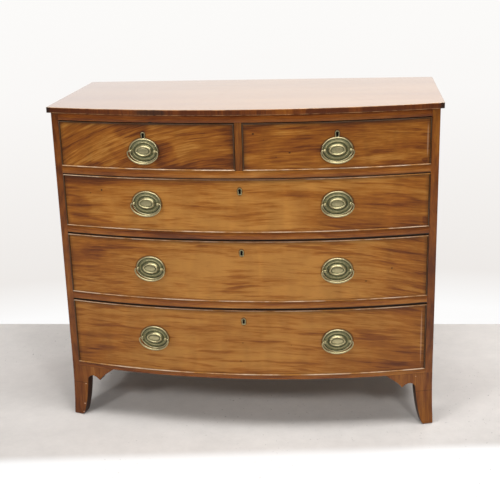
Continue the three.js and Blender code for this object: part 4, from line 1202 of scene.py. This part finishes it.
def cubic(a, b, c, d, t):
    s = 1 - t
    return tuple(
        s ** 3 * p + 3 * s * s * t * q + 3 * s * t * t * r + t ** 3 * w
        for p, q, r, w in zip(a, b, c, d)
    )


def quadratic(a, b, c, t):
    s = 1 - t
    return tuple(s * s * p + 2 * s * t * q + t * t * r for p, q, r in zip(a, b, c))


def toeLevels():
    steps = feet["toeSteps"]
    return [feet["toeRound"] * (1 - math.cos(math.pi / 2 * i / steps)) for i in range(1, steps + 1)]


def bracketOutline():
    # the shaped edge, from the toe up the leg, over the arch and down the cusp to the end of the bracket
    toe, knee = (feet["toe"] - feet["splay"], 0.0), (feet["legTop"], feet["legHeight"])
    cusp, end = (feet["cusp"], feet["cuspHeight"]), (feet["reach"], feet["height"])

    def between(a, b, share):
        return tuple(p + (q - p) * part for p, q, part in zip(a, b, share))

    crown = 2 * feet["archCrown"] - (knee[1] + cusp[1]) / 2
    leg = [toe, between(toe, knee, feet["legBend"]), knee]
    arch = [knee, (knee[0] + (cusp[0] - knee[0]) * feet["archBend"], crown), cusp]
    ogee = [cusp, *(between(cusp, end, share) for share in feet["ogeeBends"]), end]
    shares = [i / feet["curveSteps"] for i in range(feet["curveSteps"])]
    levels = [0.0, *toeLevels()[:-1]]
    points = [(toe[0] - roundingAt(z), z) for z in levels]
    points += [p for p in (quadratic(*leg, t) for t in shares) if p[1] > levels[-1]]
    points += [quadratic(*arch, t) for t in shares]
    return points + [cubic(*ogee, t) for t in shares] + [end]


def roundingAt(z):
    # how far the toe's lower edge has fallen back at height z
    below = max(feet["toeRound"] - z, 0.0)
    return feet["toeRound"] - math.sqrt(feet["toeRound"] ** 2 - below ** 2)


def splayAt(z):
    return feet["splay"] * (1 - z / feet["height"]) ** 2


def boardFrom(bm, outline, thickness, arris):
    # a board of this outline in x and z, its face at y = 0 and its back at y = thickness
    face = bm.faces.new([bm.verts.new((x, 0.0, z)) for x, z in outline])
    grown = bmesh.ops.extrude_face_region(bm, geom=[face])
    bmesh.ops.translate(
        bm, vec=(0, thickness, 0), verts=[g for g in grown["geom"] if isinstance(g, bmesh.types.BMVert)],
    )
    bmesh.ops.recalc_face_normals(bm, faces=bm.faces)
    shaped = [
        e for e in bm.edges
        if all(abs(v.co.y) < weld and v.co.z < feet["height"] - touching for v in e.verts)
    ]
    bevelEdges(bm, shaped, arris, 2)


def bracket(outline, thickness, place, mitre=None):
    # one bracket as its own mesh: place(inwards, up, through) says where each point goes
    bm = bmesh.new()
    boardFrom(bm, outline, thickness, feet["arris"])
    along, up = feet["slices"]
    sliceAcross(bm, slicesBetween(0.0, feet["reach"], along))
    sliceAcross(bm, slicesBetween(0.0, feet["height"], up), (0, 0, 1))
    sliceAcross(bm, toeLevels(), (0, 0, 1))
    bm.normal_update()
    for face in bm.faces:
        if face.normal.y > -0.6:
            face.material_index = 1
    for vert in bm.verts:
        vert.co = Vector(place(vert.co.x, vert.co.z, vert.co.y))
    if mitre:
        corner, normal = mitre
        everything = bm.verts[:] + bm.edges[:] + bm.faces[:]
        made = bmesh.ops.bisect_plane(
            bm, geom=everything, plane_co=corner, plane_no=normal, clear_outer=True, dist=weld,
        )
        bmesh.ops.holes_fill(bm, edges=[g for g in made["geom_cut"] if isinstance(g, bmesh.types.BMEdge)])
    bmesh.ops.recalc_face_normals(bm, faces=bm.faces)
    return bm


def gather(meshes):
    whole = bmesh.new()
    for bm in meshes:
        mesh = bpy.data.meshes.new("part")
        bm.to_mesh(mesh)
        bm.free()
        whole.from_mesh(mesh)
        bpy.data.meshes.remove(mesh)
    return whole


def outlineWithOuter(inner):
    # the outer edge is upright here; the splay comes when the bracket is placed
    return [(0.0, 0.0), *inner, (0.0, feet["height"])]


def glueBlock(low, high):
    bm = bmesh.new()
    boxed(bm, low, high, feet["blockArris"])
    for face in bm.faces:
        face.material_index = 1
    return bm


def makeFrontFoot():
    half = -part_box("left_side")[0].x
    corner = faceY(half)
    thickness, height = feet["thickness"], feet["height"]
    outline = outlineWithOuter(bracketOutline())

    def fallBack(up, through):
        return splayAt(up) - roundingAt(up) * (1 - through / thickness)

    def kickAt(inwards, up):
        return splayAt(up) * max(0.0, 1 - inwards / feet["toe"])

    def onBow(inwards, up, through):
        turn = math.asin((half - inwards + kickAt(inwards, up)) / (faceRadius + splayAt(up)))
        radius = faceRadius - through + fallBack(up, through)
        return radius * math.sin(turn), bowCentre - radius * math.cos(turn), up

    def onSide(inwards, up, through):
        y = corner + inwards - kickAt(inwards, up) * feet["sideSplayShare"]
        return half - through + fallBack(up, through), y, up

    direction = Vector((1.0, feet["mitreSlope"], 0.0)).normalized()
    normal = Vector((direction.y, -direction.x, 0.0))
    edge = Vector((half, corner, 0.0))
    inner = half - thickness
    front = faceY(inner, -thickness)
    block = glueBlock(
        (inner - feet["block"], front, feet["blockLift"]), (inner, front + feet["block"], height),
    )
    return gather([
        bracket(outline, thickness, onBow, (edge, -normal)),
        bracket(outline, thickness, onSide, (edge, normal)),
        block,
    ])


def makeBackFoot():
    half = -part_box("left_side")[0].x
    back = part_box("back_boards")[1].y
    thickness, height = feet["thickness"], feet["height"]
    behind = feet["rearThickness"]

    def onSide(inwards, up, through):
        return half - through + splayAt(up), back - inwards, up

    def onBack(inwards, up, through):
        return half - thickness - inwards, back - through, up

    toe, reach = feet["toe"] - thickness / 2, feet["rearReach"] - thickness / 2
    bend = feet["rearBend"]
    curve = [(toe, 0.0), (toe + (reach - toe) * bend[0], height * bend[1]), (reach, height)]
    plain = [quadratic(*curve, i / feet["curveSteps"]) for i in range(feet["curveSteps"] + 1)]
    inner = half - thickness
    block = glueBlock(
        (inner - feet["block"], back - behind - feet["block"], feet["blockLift"]),
        (inner, back - behind, height),
    )
    return gather([
        bracket(outlineWithOuter(bracketOutline()), thickness, onSide),
        bracket([(0.0, 0.0), *plain, (0.0, height)], behind, onBack),
        block,
    ])


def seamDirt(shade, x, y, z, ribbon):
    apart = (z + (ribbon - 0.5) * feet["seamWander"] - feet["seam"]).size()
    return (1.0 - apart.rise(*feet["seamLine"])) * 0.55


def makeFeet():
    shadedEdges = mahogany("foot_edges_stained_and_shaded", {**feet["look"], **feet["shadedEdgeLook"]})
    for end, build in (("front", makeFrontFoot), ("back", makeBackFoot)):
        for side in ("right", "left"):
            bm = build()
            if side == "left":
                bmesh.ops.scale(bm, vec=(-1, 1, 1), verts=bm.verts)
                bmesh.ops.reverse_faces(bm, faces=bm.faces)
            shadeByAngle(bm, 35)
            node = end + "_" + side + "_foot"
            look = {**feet["look"], "seed": feet["seeds"][node]}
            if side == "left":
                look["tint"] = feet["leftTint"]
            if end == "front":
                look.update({"dirtAndShade": seamDirt, "scratches": feet["scratches"]})
            material = mahogany(node + "_mahogany", look)
            addPiece("bracket_" + node, bm, [material, shadedEdges], "case", [node])


makeFeet()
print("feet made")


# Back: the frame's boards in pine, with the clout nails that hold them
nails = {
    "radius": 4.2 * millimetre, "proud": 0.7 * millimetre, "inset": 12 * millimetre, "wander": 2 * millimetre,
    "perBoard": 3, "boards": 4,
    "colour": (0.10, 0.075, 0.06), "rust": (0.17, 0.07, 0.03),
}


def makeNails():
    low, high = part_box("back_boards")
    iron, shade, principled = newMaterial("nail_iron")
    place = shade.node("TexCoord", None, None, 3)
    pitting = shade.noise(place, 900.0, 3.0, 0.6)
    rust = shade.noise(place, 60.0, 2.0).rise(0.42, 0.6)
    colour = shade.mixed(rust, tinted(nails["colour"]), tinted(nails["rust"]))
    dress(shade, principled, colour, 0.55 + pitting * 0.3, pitting, 0.5, 0.2 * millimetre)
    principled.inputs["Metallic"].default_value = 0.6
    bm = bmesh.new()
    board = (high.z - low.z) / nails["boards"]
    for side in (-1, 1):
        for i in range(nails["boards"] * nails["perBoard"]):
            row, step = divmod(i, nails["perBoard"])
            z = low.z + board * (row + (step + 0.5) / nails["perBoard"])
            x = side * (high.x - nails["inset"] + nails["wander"] * math.sin(5.0 * i))
            made = bmesh.ops.create_uvsphere(bm, u_segments=14, v_segments=8, radius=nails["radius"])
            flat = Matrix.Diagonal((1.0, nails["proud"] / nails["radius"], 1.0, 1.0))
            bmesh.ops.transform(
                bm, matrix=Matrix.Translation((x, high.y, z)) @ flat @ Matrix.Rotation(math.pi / 2, 4, "X"),
                verts=made["verts"],
            )
    shadeByAngle(bm, 60)
    addPiece("back_clout_nails", bm, [iron], "case")


frame["nodes"]["back_boards"].data.materials.clear()
frame["nodes"]["back_boards"].data.materials.append(pine)
makeNails()
print("back made")
